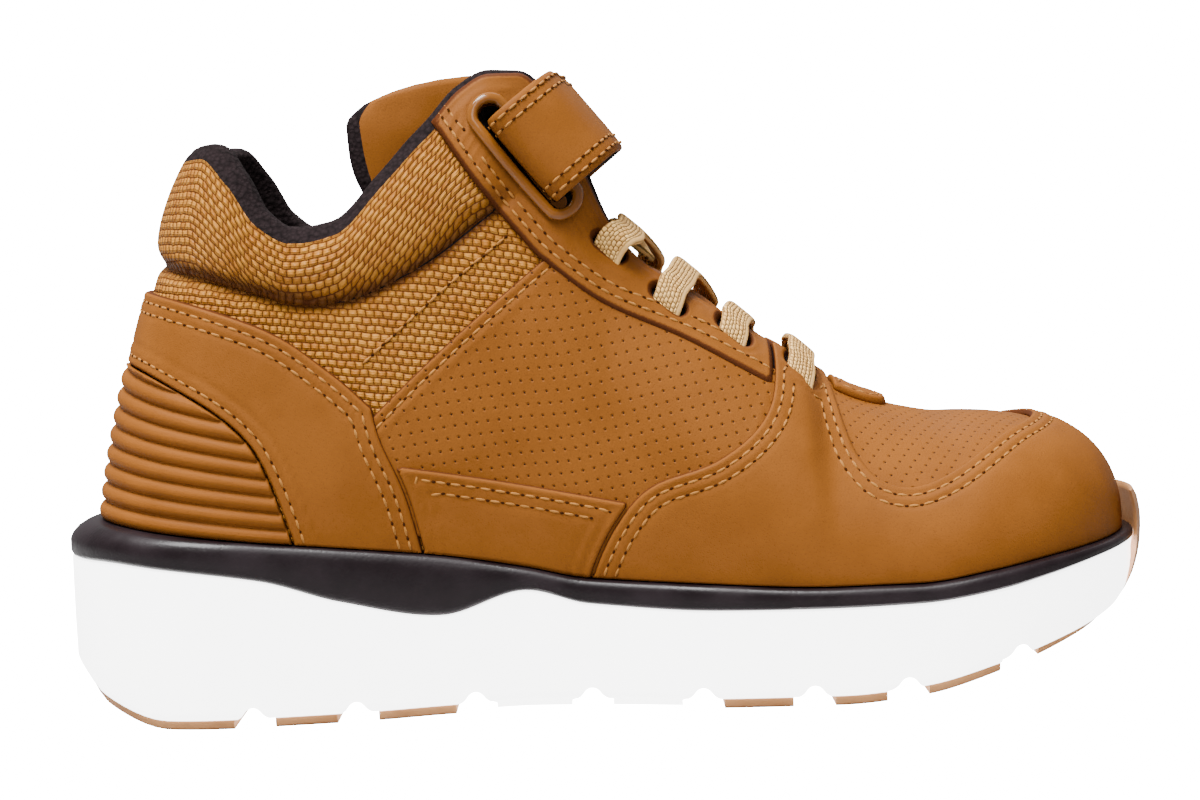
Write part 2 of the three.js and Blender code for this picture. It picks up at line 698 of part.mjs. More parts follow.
// Sole
const faceBack = (z) => toeFace(z / HEIGHT) * TOE_LEAN;
const behindShield = (z) => faceBack(z) + SHIELD_THICKNESS + GAP;
const toeZ = (line) => soleZ(LENGTH, line);
const padTop = (x) => soleZ(x, "under") + PAD_THICKNESS;
const foamBottom = (x) => padTop(x) + GAP;
const foamTop = (x) => soleZ(x, "randLow") - GAP;
const alongX = (from, to) =>
  solidOf(new THREE.BoxGeometry(to - from, 2 * WIDE, HEIGHT).translate((from + to) / 2, 0, HEIGHT / 4));

function notch(share) {
  const x = share * LENGTH;
  const floor = soleZ(x, "under");
  const half = NOTCH_WIDTH / 2;
  const brim = floor + PAD_THICKNESS;
  const crown = brim + NOTCH_HEIGHT;
  const shape = new THREE.Shape();
  shape.moveTo(x - half, floor - NOTCH_HEIGHT);
  shape.lineTo(x + half, floor - NOTCH_HEIGHT);
  shape.lineTo(x + half, brim);
  const waist = brim + NOTCH_HEIGHT * NOTCH_BELL.waist;
  const shoulder = brim + NOTCH_HEIGHT * NOTCH_BELL.shoulder;
  shape.quadraticCurveTo(x + half * NOTCH_BELL.foot, waist, x + half * NOTCH_BELL.flank, shoulder);
  shape.quadraticCurveTo(x + half * NOTCH_BELL.crown, crown, x, crown);
  shape.quadraticCurveTo(x - half * NOTCH_BELL.crown, crown, x - half * NOTCH_BELL.flank, shoulder);
  shape.quadraticCurveTo(x - half * NOTCH_BELL.foot, waist, x - half, brim);
  return sidePrism(shape);
}

const notches = NOTCHES.map(notch);
const bareLugs = layer([
  { inset: PAD_INSET, toe: behindShield(0), z: (x) => soleZ(x, "under") + MIDFOOT_LIFT },
  { inset: MIDSOLE_EDGE, toe: behindShield(0), z: (x) => foamBottom(x) + PAD_THICKNESS },
]).intersect(alongX(BARE_LUGS[0] * LENGTH, BARE_LUGS[1] * LENGTH));
const belly = (x) => THREE.MathUtils.lerp(foamBottom(x), foamTop(x), 0.3);
const toeFoot = behindShield(toeZ("under") + PAD_THICKNESS);
const midsoleForm = layer([
  { inset: MIDSOLE_EDGE, heel: MIDSOLE_EDGE, toe: toeFoot, z: foamBottom },
  { toe: behindShield(toeZ("under") + TOE_UNDERSIDE), z: belly },
  { inset: MIDSOLE_TUCK, toe: behindShield(toeZ("randLow")), z: foamTop },
]);
const midsole = notches.reduce((left, cut) => left.subtract(cut), midsoleForm.add(bareLugs));

const randFoot = (x) => soleZ(x, "randLow") + RAND_FOOT;
const randBrow = (x) => soleZ(x, "randTop") - RAND_BROW;
const randLip = (x) => THREE.MathUtils.lerp(randFoot(x), randBrow(x), 0.6);
const [toeLow, toeTop] = [behindShield(toeZ("randLow")), behindShield(toeZ("randTop"))];
const rand = layer([
  { inset: RAND_EDGE * 0.6, toe: toeLow, z: (x) => soleZ(x, "randLow") },
  { toe: toeLow, z: randFoot },
  { inset: RAND_EDGE * 0.2, heel: HEEL_LIP * 0.25, toe: toeTop, z: randLip },
  { inset: RAND_EDGE * 0.4, heel: HEEL_LIP * 0.6, toe: toeTop, z: randBrow },
  { inset: RAND_EDGE * 1.4, heel: HEEL_LIP, toe: toeTop, z: (x) => soleZ(x, "randTop") },
]);
const toeUnder = behindShield(toeZ("under"));
const padForm = layer([
  { inset: PAD_INSET + PAD_TAPER, toe: toeUnder + 2 * PAD_TAPER, z: (x) => soleZ(x, "under") },
  { inset: PAD_INSET, toe: toeUnder, z: padTop },
]);
const padEnds = [0, ...NOTCHES, 1];
const pads = padEnds.slice(1).map((end, i) => {
  const from = padEnds[i];
  if (from >= BARE_LUGS[0] && end <= BARE_LUGS[1]) return null;
  const left = i === 0 ? -NOTCH_WIDTH : from * LENGTH + NOTCH_WIDTH / 2;
  const right = end === 1 ? LENGTH + NOTCH_WIDTH : end * LENGTH - NOTCH_WIDTH / 2;
  return padForm.intersect(alongX(left, right));
});
const insoleRing = {
  inset: UPPER_INSET + WALL + INSOLE_CLEARANCE,
  heel: HEEL_SETBACK - UPPER_INSET,
  toe: TOE_SETBACK - UPPER_INSET,
};
const insole = layer([
  { ...insoleRing, z: (x) => soleZ(x, "randTop") + GAP },
  { ...insoleRing, z: (x) => soleZ(x, "randTop") + GAP + INSOLE_THICKNESS },
]);

// Toe shield: a rubber patch in front of the sole's end.
const shieldRow = (z, extra) => ({ toe: faceBack(z) + extra, z });
const shieldHeights = SHIELD_ROWS.map((row) => SHIELD_FOOT + row * (SHIELD_TOP - SHIELD_FOOT));
const shieldZone = sidePrism(
  new THREE.Shape([
    ...shieldHeights.map((z) => new THREE.Vector2(LENGTH - faceBack(z) - SHIELD_WRAP, z)),
    new THREE.Vector2(LENGTH + SHIELD_WRAP, SHIELD_TOP),
    new THREE.Vector2(LENGTH + SHIELD_WRAP, SHIELD_FOOT),
  ]),
);
const shieldForm = layer(shieldHeights.map((z) => shieldRow(z, 0)));
const hollowHeights = [0, ...shieldHeights, HEIGHT];
const shieldHollow = layer(hollowHeights.map((z) => shieldRow(z, SHIELD_THICKNESS)));
const inShield = layer(
  hollowHeights.map((z) => ({ ...shieldRow(z, SHIELD_THICKNESS + 2 * GAP), inset: -GAP })),
);
const shield = shieldForm.subtract(shieldHollow).intersect(shieldZone);

// Tongue: a padded plate on the centre line, whose edges wrap back. Along is from its toe end to its top.
const TONGUE = [
  { at: 0.0, x: 0.765, z: 0.385, half: 0.9, wrap: 0.12, back: 1.2 },
  { at: 0.12, x: 0.725, z: 0.412, half: 0.95, wrap: 0.14, back: 1.15 },
  { at: 0.26, x: 0.683, z: 0.464, half: 0.93, wrap: 0.17, back: 1.05 },
  { at: 0.4, x: 0.64, z: 0.523, half: 1.0, wrap: 0.22, back: 1.0 },
  { at: 0.56, x: 0.572, z: 0.632, half: 0.97, wrap: 0.45, back: 0.7 },
  { at: 0.7, x: 0.501, z: 0.712, half: 0.95, wrap: 1.15, back: 0.3 },
  { at: 0.82, x: 0.463, z: 0.826, half: 0.96, wrap: 1.55, back: 0.03 },
  { at: 0.92, x: 0.437, z: 0.91, half: 1.0, wrap: 1.4, back: 0.0 },
  { at: 1.0, x: 0.41, z: 0.985, half: 0.98, wrap: 1.02, back: 0.2 },
];
const TONGUE_ROWS = 10;
const TONGUE_COLUMNS = 8;
const TONGUE_EDGE = 0.45; // the plate thins towards its edges by this share of its thickness
const TONGUE_CURL = { from: 0.85, to: 1 }; // here its wrapped sides begin to droop, and droop most
const tongueLine = columns(TONGUE);

function tonguePoint(along, across, lift) {
  const turn = across * TONGUE_ARC;
  const side = (Math.sin(turn) / Math.sin(TONGUE_ARC)) * tongueLine.half(along) * TONGUE_HALF;
  const back = (1 - Math.cos(turn)) * tongueLine.wrap(along) * TONGUE_WRAP;
  const curl = smooth(TONGUE_CURL.from, TONGUE_CURL.to, along);
  const fall = tongueLine.back(along) * (1 - curl * (1 - across ** 2));
  const spot = (share) => new THREE.Vector2(tongueLine.x(share) * LENGTH, tongueLine.z(share) * HEIGHT);
  const way = spot(along + 0.02).sub(spot(along - 0.02)).normalize();
  const outward = new THREE.Vector2(way.y, -way.x).multiplyScalar(Math.cos(turn) * lift);
  return new THREE.Vector3(
    spot(along).x + outward.x - back * Math.cos(fall),
    side + Math.sin(turn) * lift,
    spot(along).y + outward.y - back * Math.sin(fall),
  );
}

const tongue = loft(
  Array.from({ length: TONGUE_ROWS + 1 }, (_, i) => {
    const along = i / TONGUE_ROWS;
    const thin = Math.min(1, TONGUE_EDGE + 4 * Math.min(along, 1 - along));
    const half = (TONGUE_THICKNESS / 2) * thin;
    const front = Array.from({ length: TONGUE_COLUMNS + 1 }, (_, j) => {
      const across = (2 * j) / TONGUE_COLUMNS - 1;
      return tonguePoint(along, across, half * (1 - TONGUE_EDGE * across ** 4));
    });
    const rear = Array.from({ length: TONGUE_COLUMNS + 1 }, (_, j) => {
      const across = 1 - (2 * j) / TONGUE_COLUMNS;
      return tonguePoint(along, across, -half * (1 - TONGUE_EDGE * across ** 4));
    });
    return [...front, ...rear].reverse();
  }),
  false,
);

// A flat ribbon along a path of { point, normal, wide } stations, its section square across the path.
const ribbon = (stations, thickness) =>
  loft(
    stations.map(({ point, normal, wide }) => {
      const corner = (w, n) =>
        point
          .clone()
          .addScaledVector(wide, w)
          .addScaledVector(normal, (n * thickness) / 2);
      const far = [corner(-0.95, 1), corner(0.95, 1)];
      const near = [corner(0.95, -1), corner(-0.95, -1)];
      return [corner(-1, 0), ...far, corner(1, 0), ...near];
    }),
    false,
  );

// Strap: sewn to the outer side, over the tongue, out through the inner side's grommet, and back over
// itself. drop is the way down from the crest, in shares of STRAP_DROP. Rows with layers lie outside a
// wing, that many straps deep. The others give their place across in shares of WING_HALF, the inner side
// negative.
const STRAP_CREST = new THREE.Vector3(0.497 * LENGTH, 0, 0.918 * HEIGHT);
const STRAP = [
  { drop: 1.75, side: 1, layers: 1 },
  { drop: 1.0, side: 1, layers: 1 },
  { drop: 0.45, side: 1, layers: 1.1 },
  { drop: 0.1, across: 1.12 },
  { drop: 0.04, across: 0.8 },
  { drop: 0.2, across: 0.3 },
  { drop: 0.3, across: -0.2 },
  { drop: 0.44, across: -0.44 },
  { drop: 0.8, across: -0.6 },
  { drop: 1.0, across: -0.84 },
  { drop: 1.02, across: -1.22 },
  { drop: 0.97, across: -1.42 },
  { drop: 0.78, across: -1.46 },
  { drop: 0.45, across: -1.37 },
  { drop: 0.18, across: -1.2 },
  { drop: 0.01, across: -0.9 },
  { drop: -0.03, across: -0.4 },
  { drop: -0.06, across: 0.2 },
  { drop: -0.13, across: 0.8 },
  { drop: -0.08, across: 1.2 },
  { drop: 0.3, side: 1, layers: 2.3 },
  { drop: 1.0, side: 1, layers: 2 },
  { drop: 1.9, side: 1, layers: 2 },
  { drop: 2.55, side: 1, layers: 1.6 },
];
const strapTurn = (STRAP_ANGLE * Math.PI) / 180;
const strapWide = new THREE.Vector3(Math.cos(strapTurn), 0, -Math.sin(strapTurn));
const strapUp = new THREE.Vector3(Math.sin(strapTurn), 0, Math.cos(strapTurn));
const onStrap = (drop, across) =>
  STRAP_CREST.clone().addScaledVector(strapUp, -drop * STRAP_DROP).addScaledVector(strapWide, across);

function wingOutside(drop, side) {
  const across = [-1, -0.5, 0, 0.5, 1].map((share) => {
    const { x, z } = onStrap(drop, (share * STRAP_WIDTH) / 2);
    const top = edge.top(stationOf(x)) * HEIGHT;
    return Math.abs(onSide(x, Math.min(z, top), side, GAP + OVERLAY).y);
  });
  return Math.max(...across);
}

const strapLine = new THREE.CatmullRomCurve3(
  STRAP.map(({ drop, side, layers, across }) => {
    const y = layers
      ? side * (wingOutside(drop, side) + GAP + (layers - 0.5) * (STRAP_THICKNESS + GAP))
      : across * WING_HALF;
    return onStrap(drop, 0).setY(y);
  }),
  false,
  "centripetal",
);
const strap = ribbon(
  Array.from({ length: STRAP_STEPS + 1 }, (_, i) => {
    const share = i / STRAP_STEPS;
    const way = strapLine.getTangentAt(share);
    return {
      point: strapLine.getPointAt(share),
      normal: new THREE.Vector3().crossVectors(way, strapWide).normalize(),
      wide: strapWide.clone().multiplyScalar(STRAP_WIDTH / 2),
    };
  }),
  STRAP_THICKNESS,
);

// An oval in the side view, wrapped on a side of the upper: rings of a section of [grow, push] pairs.
function ovalSweep({ centre, turn, length, width, side, steps }, section) {
  const along = new THREE.Vector2(Math.cos(turn), -Math.sin(turn));
  const across = new THREE.Vector2(Math.sin(turn), Math.cos(turn));
  return Array.from({ length: steps }, (_, i) => {
    const angle = (-side * 2 * Math.PI * (i + 0.5)) / steps;
    const [c, s] = [Math.cos(angle), Math.sin(angle)];
    const straight = Math.sign(c) * ((length - width) / 2) * Math.min(1, Math.abs(c) * 3);
    return section.map(([grow, push]) => {
      const spot = centre
        .clone()
        .addScaledVector(along, straight + c * (width / 2 + grow))
        .addScaledVector(across, s * (width / 2 + grow));
      return onSide(spot.x, spot.y, side, push);
    });
  });
}

function slotCut(oval, depth) {
  const rings = ovalSweep(oval, [
    [0, -depth],
    [0, ringFoot * 2],
  ]);
  return loft([rings.map((pair) => pair[1]), rings.map((pair) => pair[0])], false);
}

// Stitched tab at the foot of the throat: a patch with a round front end that lies over the ridge.
const tabStart = HEEL_AXIS + (THROAT_BASE - 1) * (TOE_AXIS - HEEL_AXIS) + TAB_SETBACK;
const tabShape = new THREE.Shape();
tabShape.moveTo(tabStart, -TAB_HALF);
tabShape.bezierCurveTo(
  ...[tabStart + TAB_LENGTH * 0.9, -TAB_HALF],
  ...[tabStart + TAB_LENGTH, -TAB_HALF * 0.8],
  ...[tabStart + TAB_LENGTH, 0],
);
tabShape.bezierCurveTo(
  ...[tabStart + TAB_LENGTH, TAB_HALF * 0.8],
  ...[tabStart + TAB_LENGTH * 0.9, TAB_HALF],
  ...[tabStart, TAB_HALF],
);
const tabForm = new THREE.ExtrudeGeometry(tabShape, { depth: HEIGHT, bevelEnabled: false, curveSegments: 4 });
const tab = overlayForm.intersect(solidOf(tabForm.translate(0, 0, HEIGHT / 4)));

// Grommet and the slot through the inner side's wing.
const ringFoot = GAP + OVERLAY + GAP;
const strapSlot = onStrap(1, 0);
const grommetOval = {
  centre: new THREE.Vector2(strapSlot.x, strapSlot.z),
  turn: strapTurn,
  length: GROMMET_LENGTH,
  width: GROMMET_WIDTH,
  side: -1,
  steps: GROMMET_STEPS,
};
const grommet = loft(
  ovalSweep(grommetOval, [
    [0, ringFoot],
    [0, ringFoot + 0.5 * GROMMET_HEIGHT],
    [-0.3 * GROMMET_BAND, ringFoot + GROMMET_HEIGHT],
    [-0.75 * GROMMET_BAND, ringFoot + GROMMET_HEIGHT],
    [-GROMMET_BAND, ringFoot + 0.5 * GROMMET_HEIGHT],
    [-GROMMET_BAND, ringFoot],
  ]),
  true,
);
const grommetHole = slotCut(
  { ...grommetOval, length: GROMMET_LENGTH - 2 * GROMMET_BAND, width: GROMMET_WIDTH - 2 * GROMMET_BAND },
  (WALL + WING_PAD) * 2,
);

// Laces: each runs from an inner slot to an outer one. from and to are the slots' places along the shoe,
// low their height, and crown the lace's height over the tongue.
const LACES = [
  { from: 0.5155, fromLow: 0.704, to: 0.553, toLow: 0.632, crown: 0.745, lean: 4, lift: 2.4 },
  { from: 0.566, fromLow: 0.616, to: 0.604, toLow: 0.575, crown: 0.672, lean: 2.6, lift: 0.5 },
  { from: 0.624, fromLow: 0.561, to: 0.64, toLow: 0.547, crown: 0.596, lean: 1, lift: 0.35 },
  { from: 0.684, fromLow: 0.496, to: 0.688, toLow: 0.492, crown: 0.538, lean: 0.8, lift: 0.85 },
];
const laceWide = new THREE.Vector3(Math.cos(LACE_ANGLE), 0, -Math.sin(LACE_ANGLE));
const laceSlots = (side) =>
  LACES.map(({ from, fromLow, to, toLow }) => ({
    centre: new THREE.Vector2((side < 0 ? from : to) * LENGTH, (side < 0 ? fromLow : toLow) * HEIGHT),
    turn: LACE_ANGLE,
    length: LACE_WIDTH + 3 * SLOT_CLEARANCE,
    width: LACE_THICKNESS + 3 * SLOT_CLEARANCE,
    side,
    steps: 10,
  }));

function lacePath({ from, to, crown, lean, lift }, i) {
  const end = (side) => {
    const { x, y: z } = laceSlots(side)[i].centre;
    const clear = ringFoot + LACE_THICKNESS / 2 + lift;
    const forward = side < 0 ? lean : lean * 0.3;
    const rim = edge.top(stationOf(x + forward)) * HEIGHT;
    return [
      onSide(x + LACE_SETTLE.along, z - LACE_SETTLE.down, side, GAP + OVERLAY + LACE_SETTLE.out),
      onSide(x + forward * 0.45, Math.min(z + LACE_RISE, (z + rim) / 2), side, clear),
      onSide(x + forward, rim - LACE_REST.down, side, clear + LACE_REST.out),
    ];
  };
  const middle = new THREE.Vector3(((from + to) / 2) * LENGTH + 1, 0, crown * HEIGHT - LACE_THICKNESS / 2);
  return new THREE.CatmullRomCurve3([...end(-1), middle, ...end(1).reverse()], false, "centripetal");
}

const laceAlong = (path, steps) =>
  ribbon(
    Array.from({ length: steps + 1 }, (_, k) => {
      const way = path.getTangentAt(k / steps);
      return {
        point: path.getPointAt(k / steps),
        normal: new THREE.Vector3().crossVectors(laceWide, way).normalize(),
        wide: laceWide.clone().multiplyScalar(-LACE_WIDTH / 2),
      };
    }),
    LACE_THICKNESS,
  );
const laces = LACES.map((lace, i) => laceAlong(lacePath(lace, i), LACE_STEPS));

// The crossing that shows under the first lace, between the two eyestays.
const UNDER_LACE = [
  { x: 0.545, across: -0.27, z: 0.705 },
  { x: 0.533, across: 0.0, z: 0.739 },
  { x: 0.52, across: 0.27, z: 0.73 },
];
const underPath = UNDER_LACE.map(
  ({ x, across, z }) => new THREE.Vector3(x * LENGTH, across * BALL_HALF, z * HEIGHT - LACE_THICKNESS / 2),
);
const underLace = laceAlong(new THREE.CatmullRomCurve3(underPath), LACE_STEPS / 2);

const group = new THREE.Group();
const MATERIALS = {
  leather: { color: 0xb5793a, roughness: 0.6, metalness: 0 },
  textile: { color: 0xb98440, roughness: 0.8, metalness: 0 },
  rand: { color: 0x3a2f35, roughness: 0.5, metalness: 0 },
  foam: { color: 0xf4f4f2, roughness: 0.6, metalness: 0 },
  rubber: { color: 0xd09a68, roughness: 0.7, metalness: 0 },
  lining: { color: 0x2b2528, roughness: 0.9, metalness: 0 },
  lace: { color: 0xd8a566, roughness: 0.9, metalness: 0 },
  grommet: { color: 0xa8743c, roughness: 0.3, metalness: 0.6 },
};

function addPiece(name, material, solid) {
  const mesh = new THREE.Mesh(geometryOf(solid), new THREE.MeshStandardMaterial(MATERIALS[material]));
  mesh.name = name;
  group.add(mesh);
}

const laceHoles = (side) => laceSlots(side).map((oval) => slotCut(oval, 0));
const cutFrom = (solid, cuts) => cuts.reduce((left, cut) => left.subtract(cut), solid);
addPiece("upper", "leather", upper.subtract(grommetHole));
addPiece("collar", "textile", collar);
addPiece("heel_counter", "leather", counter);
addPiece("heel_ribs", "leather", ribs);
addPiece("toe_guard", "leather", cutFrom(guard, [...laceHoles(-1), ...laceHoles(1)]));
[-1, 1].forEach((side) => {
  const eyestay = cutFrom(eyestayForm.intersect(halfZone(side)), [grommetHole, ...laceHoles(side)]);
  addPiece(`eyestay_${sideName(side)}`, "leather", eyestay);
  addPiece(`mid_panel_${sideName(side)}`, "leather", midPanelForm.intersect(halfZone(side)));
});
addPiece("midsole", "foam", midsole.intersect(inShield));
addPiece("rand", "rand", rand.intersect(inShield));
pads.filter(Boolean).forEach((pad, i) => addPiece(`tread_pad_${i + 1}`, "rubber", pad));
addPiece("toe_shield", "rubber", shield);
addPiece("insole", "lining", insole);
addPiece("tongue", "leather", tongue);
addPiece("strap", "leather", strap);
addPiece("vamp_tab", "leather", tab);
addPiece("grommet", "grommet", grommet);
laces.forEach((lace, i) => addPiece(`lace_${i + 1}`, "lace", i === 0 ? lace.add(underLace) : lace));

const middle = new THREE.Box3().setFromObject(group).getCenter(new THREE.Vector3());
group.position.set(-middle.x, -middle.y, 0);

export default group;
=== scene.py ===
import json
import math
import bpy
import numpy as np
from mathutils import Matrix, Vector, kdtree

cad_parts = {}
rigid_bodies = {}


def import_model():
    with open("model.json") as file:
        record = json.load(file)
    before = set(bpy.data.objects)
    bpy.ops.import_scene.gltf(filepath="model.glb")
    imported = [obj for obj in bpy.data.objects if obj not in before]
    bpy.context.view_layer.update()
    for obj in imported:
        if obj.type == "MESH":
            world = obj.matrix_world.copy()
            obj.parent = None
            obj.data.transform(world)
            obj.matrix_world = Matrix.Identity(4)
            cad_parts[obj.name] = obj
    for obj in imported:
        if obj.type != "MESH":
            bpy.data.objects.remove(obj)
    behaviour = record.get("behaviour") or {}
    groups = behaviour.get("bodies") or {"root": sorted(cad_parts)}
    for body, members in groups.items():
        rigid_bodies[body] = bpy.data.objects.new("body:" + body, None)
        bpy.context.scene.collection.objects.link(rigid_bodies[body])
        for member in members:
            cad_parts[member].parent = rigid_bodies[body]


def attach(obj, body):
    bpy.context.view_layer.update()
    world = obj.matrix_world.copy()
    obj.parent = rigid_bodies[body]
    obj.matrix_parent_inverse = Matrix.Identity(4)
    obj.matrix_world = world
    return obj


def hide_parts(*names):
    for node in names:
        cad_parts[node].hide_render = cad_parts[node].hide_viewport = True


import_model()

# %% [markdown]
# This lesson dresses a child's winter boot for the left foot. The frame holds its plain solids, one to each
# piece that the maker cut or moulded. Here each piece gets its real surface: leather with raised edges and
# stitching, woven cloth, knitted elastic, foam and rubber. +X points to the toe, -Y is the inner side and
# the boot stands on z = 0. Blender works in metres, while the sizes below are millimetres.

MM, TINY = 0.001, 1e-9
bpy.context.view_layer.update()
for item in bpy.context.selected_objects:
    item.select_set(False)

# %% [markdown]
# A boot is made over a last, a solid foot of beech or plastic. Every panel of the upper lies on that one
# surface, so the surface comes first. A primitive can't give it: it is a set of sections, each a curve from
# the sole's rim to the edge of the upper. They turn about the heel, run along the foot and turn about the
# toe. The tables give their shape as shares of the boot's own length, height and half-width.

# %% Sizes of the last and the upper
LENGTH = 217.0
HEIGHT = 126.0
BALL_HALF = 40.0
HEEL_AXIS = 0.23 * LENGTH
TOE_AXIS = 0.82 * LENGTH
CENTRE = np.array([108.248, 0.305, 0.0])  # where the frame has its origin, in these sizes
GAP = 0.3
WALL = 2.4
COLLAR_PAD = 3.4
COLLAR_BULGE = 2.4
COLLAR_SEAM_DEPTH = 1.3
COLLAR_SEAM_WIDTH = 1.6
WING_PAD = 1.6
OVERLAY = 1.3
UPPER_INSET = 3.4
HEEL_SETBACK = 8.0
TOE_SETBACK = 5.8
HEEL_ROUND = 0.17
TOE_ROUND = {-1: 0.2, 1: 0.27}
END_POWER = 2.25
THROAT_BASE = 1.805
COLLAR_FRONT = 1.37
COLLAR_FADE = 0.07
print("last:", LENGTH, "mm long, turning about", round(HEEL_AXIS, 1), "and", round(TOE_AXIS, 1))

# %% Tables of the last
# at, height of the edge, half-width at the edge
EDGE = [
    (0.0, 0.886, 0.532),
    (0.5, 0.892, 0.565),
    (0.7, 0.847, 0.583),
    (0.85, 0.786, 0.588),
    (1.02, 0.757, 0.575),
    (1.07, 0.766, 0.57),
    (1.148, 0.835, 0.55),
    (1.227, 0.915, 0.525),
    (1.27, 0.96, 0.51),
    (1.315, 0.982, 0.5),
    (1.36, 0.981, 0.49),
    (1.395, 0.953, 0.48),
    (1.445, 0.845, 0.465),
    (1.48, 0.755, 0.44),
    (1.53, 0.68, 0.4),
    (1.617, 0.612, 0.35),
    (1.72, 0.54, 0.27),
    (1.765, 0.512, 0.19),
    (1.805, 0.484, 0.0),
    (1.86, 0.453, 0.0),
    (1.94, 0.425, 0.0),
    (2.0, 0.415, 0.0),
    (3.0, 0.415, 0.0),
]
# at, belly, rise, shoulder, drop
SWELL = [
    (0.0, -0.1, 0.37, 0.13, 0.25),
    (0.6, 0.0, 0.36, 0.08, 0.27),
    (1.0, 0.04, 0.35, 0.035, 0.3),
    (1.2, 0.09, 0.3, 0.12, 0.35),
    (1.33, 0.1, 0.3, 0.11, 0.3),
    (1.445, 0.12, 0.33, 0.17, 0.2),
    (1.53, 0.12, 0.4, 0.3, 0.1),
    (1.617, 0.11, 0.42, 0.36, 0.07),
    (1.72, 0.1, 0.43, 0.43, 0.04),
    (1.805, 0.07, 0.43, 0.52, 0.0),
    (2.0, 0.05, 0.44, 0.62, 0.0),
    (2.5, 0.03, 0.48, 0.68, 0.0),
    (3.0, 0.02, 0.5, 0.72, 0.0),
]
# at, height of the stitched groove under the collar
COLLAR_SEAM = [
    (0.0, 0.722),
    (0.5, 0.696),
    (0.85, 0.663),
    (1.02, 0.645),
    (1.08, 0.65),
    (1.2, 0.7),
    (1.3, 0.77),
    (1.37, 0.8),
    (1.45, 0.7),
    (1.53, 0.55),
    (1.72, 0.43),
    (2.0, 0.36),
    (3.0, 0.36),
]
# along the sole, half-width on the inner and on the outer side
PLAN = [
    (0.0, 0.76, 0.76),
    (0.12, 0.79, 0.79),
    (0.25, 0.77, 0.8),
    (0.38, 0.74, 0.83),
    (0.5, 0.79, 0.9),
    (0.62, 0.92, 0.98),
    (0.72, 0.98, 1.01),
    (0.82, 1.0, 0.97),
    (0.92, 0.96, 0.86),
    (1.0, 0.9, 0.76),
]
# along the sole, underside, lower and upper edge of the dark rand
SOLE_SIDE = [
    (0.0, 0.075, 0.262, 0.318),
    (0.04, 0.03, 0.262, 0.315),
    (0.1, 0.0, 0.252, 0.303),
    (0.19, 0.0, 0.228, 0.284),
    (0.26, 0.0, 0.19, 0.27),
    (0.35, 0.003, 0.16, 0.25),
    (0.425, 0.006, 0.192, 0.226),
    (0.48, 0.004, 0.168, 0.205),
    (0.59, 0.0, 0.152, 0.19),
    (0.7, 0.0, 0.15, 0.18),
    (0.77, 0.01, 0.152, 0.18),
    (0.84, 0.038, 0.166, 0.194),
    (0.89, 0.06, 0.182, 0.206),
    (0.95, 0.088, 0.2, 0.216),
    (1.0, 0.122, 0.208, 0.222),
]
print("sections in the tables:", len(EDGE), len(SWELL), len(COLLAR_SEAM), len(PLAN), len(SOLE_SIDE))

# %% Smooth curves through the tables
def curve(rows, column):
    """Smooth curve through a table's column, never past its rows."""
    x = np.array([row[0] for row in rows])
    y = np.array([row[column] for row in rows])
    step = np.diff(y) / np.diff(x)
    slope = np.zeros(len(y))
    same = step[:-1] * step[1:] > 0
    both = np.where(same, step[:-1] + step[1:], 1.0)
    slope[1:-1] = np.where(same, 2 * step[:-1] * step[1:] / both, 0.0)

    def value(at):
        v = np.clip(at, x[0], x[-1])
        i = np.clip(np.searchsorted(x, v, side="right") - 1, 0, len(x) - 2)
        width = x[i + 1] - x[i]
        u = (v - x[i]) / width
        rest = 1 - u
        knots = y[i] * (1 + 2 * u) * rest**2 + y[i + 1] * (3 - 2 * u) * u**2
        return knots + width * (slope[i] * u * rest**2 - slope[i + 1] * u**2 * rest)

    return value


edge_top, edge_half = curve(EDGE, 1), curve(EDGE, 2)
belly, rise, shoulder, drop = [curve(SWELL, i) for i in (1, 2, 3, 4)]
seam_height = curve(COLLAR_SEAM, 1)
plan = {-1: curve(PLAN, 1), 1: curve(PLAN, 2)}
under, rand_low, rand_top = [curve(SOLE_SIDE, i) for i in (1, 2, 3)]


def smooth(low, high, value):
    u = np.clip((np.asarray(value, float) - low) / (high - low), 0, 1)
    return u * u * (3 - 2 * u)


print("edge at the back seam:", float(edge_top(0.0)) * HEIGHT, "mm")


# %% Sections of the last
def round_end(share):
    s = np.clip(share, 0, 1)
    return (1 - (1 - s) ** END_POWER) ** (1 / END_POWER)


def half_width(x, side, heel, toe, inset):
    """Half-width of the sole's plan at x, moved in by inset."""
    width = np.zeros(np.shape(x))
    for one in (-1, 1):
        full = plan[one](x / LENGTH) * BALL_HALF - inset
        ends = round_end((x - heel) / (HEEL_ROUND * LENGTH))
        ends = ends * round_end((toe - x) / (TOE_ROUND[one] * LENGTH))
        width = np.where(side == one, full * ends, width)
    return width


def stand(at, side):
    """Foot of a section on the centre line, and the level direction that it faces."""
    heel = at * math.pi / 2
    toe = (3 - at) * math.pi / 2
    x = np.where(at < 1, HEEL_AXIS, np.where(at > 2, TOE_AXIS, HEEL_AXIS + (at - 1) * (TOE_AXIS - HEEL_AXIS)))
    dx = np.where(at < 1, -np.cos(heel), np.where(at > 2, np.cos(toe), 0.0))
    dy = side * np.where(at < 1, np.sin(heel), np.where(at > 2, np.sin(toe), 1.0))
    return x, dx, dy


def reach(at, side, heel=0.0, toe=LENGTH, inset=0.0):
    """Distance from a section's foot to the plan's outline."""
    x, dx, dy = stand(at, side)
    low = np.zeros(np.shape(at))
    high = np.full(np.shape(at), LENGTH)
    for _ in range(36):
        out = (low + high) / 2
        held = np.abs(dy * out) < half_width(x + dx * out, side, heel, toe, inset)
        low = np.where(held, out, low)
        high = np.where(held, high, out)
    return low


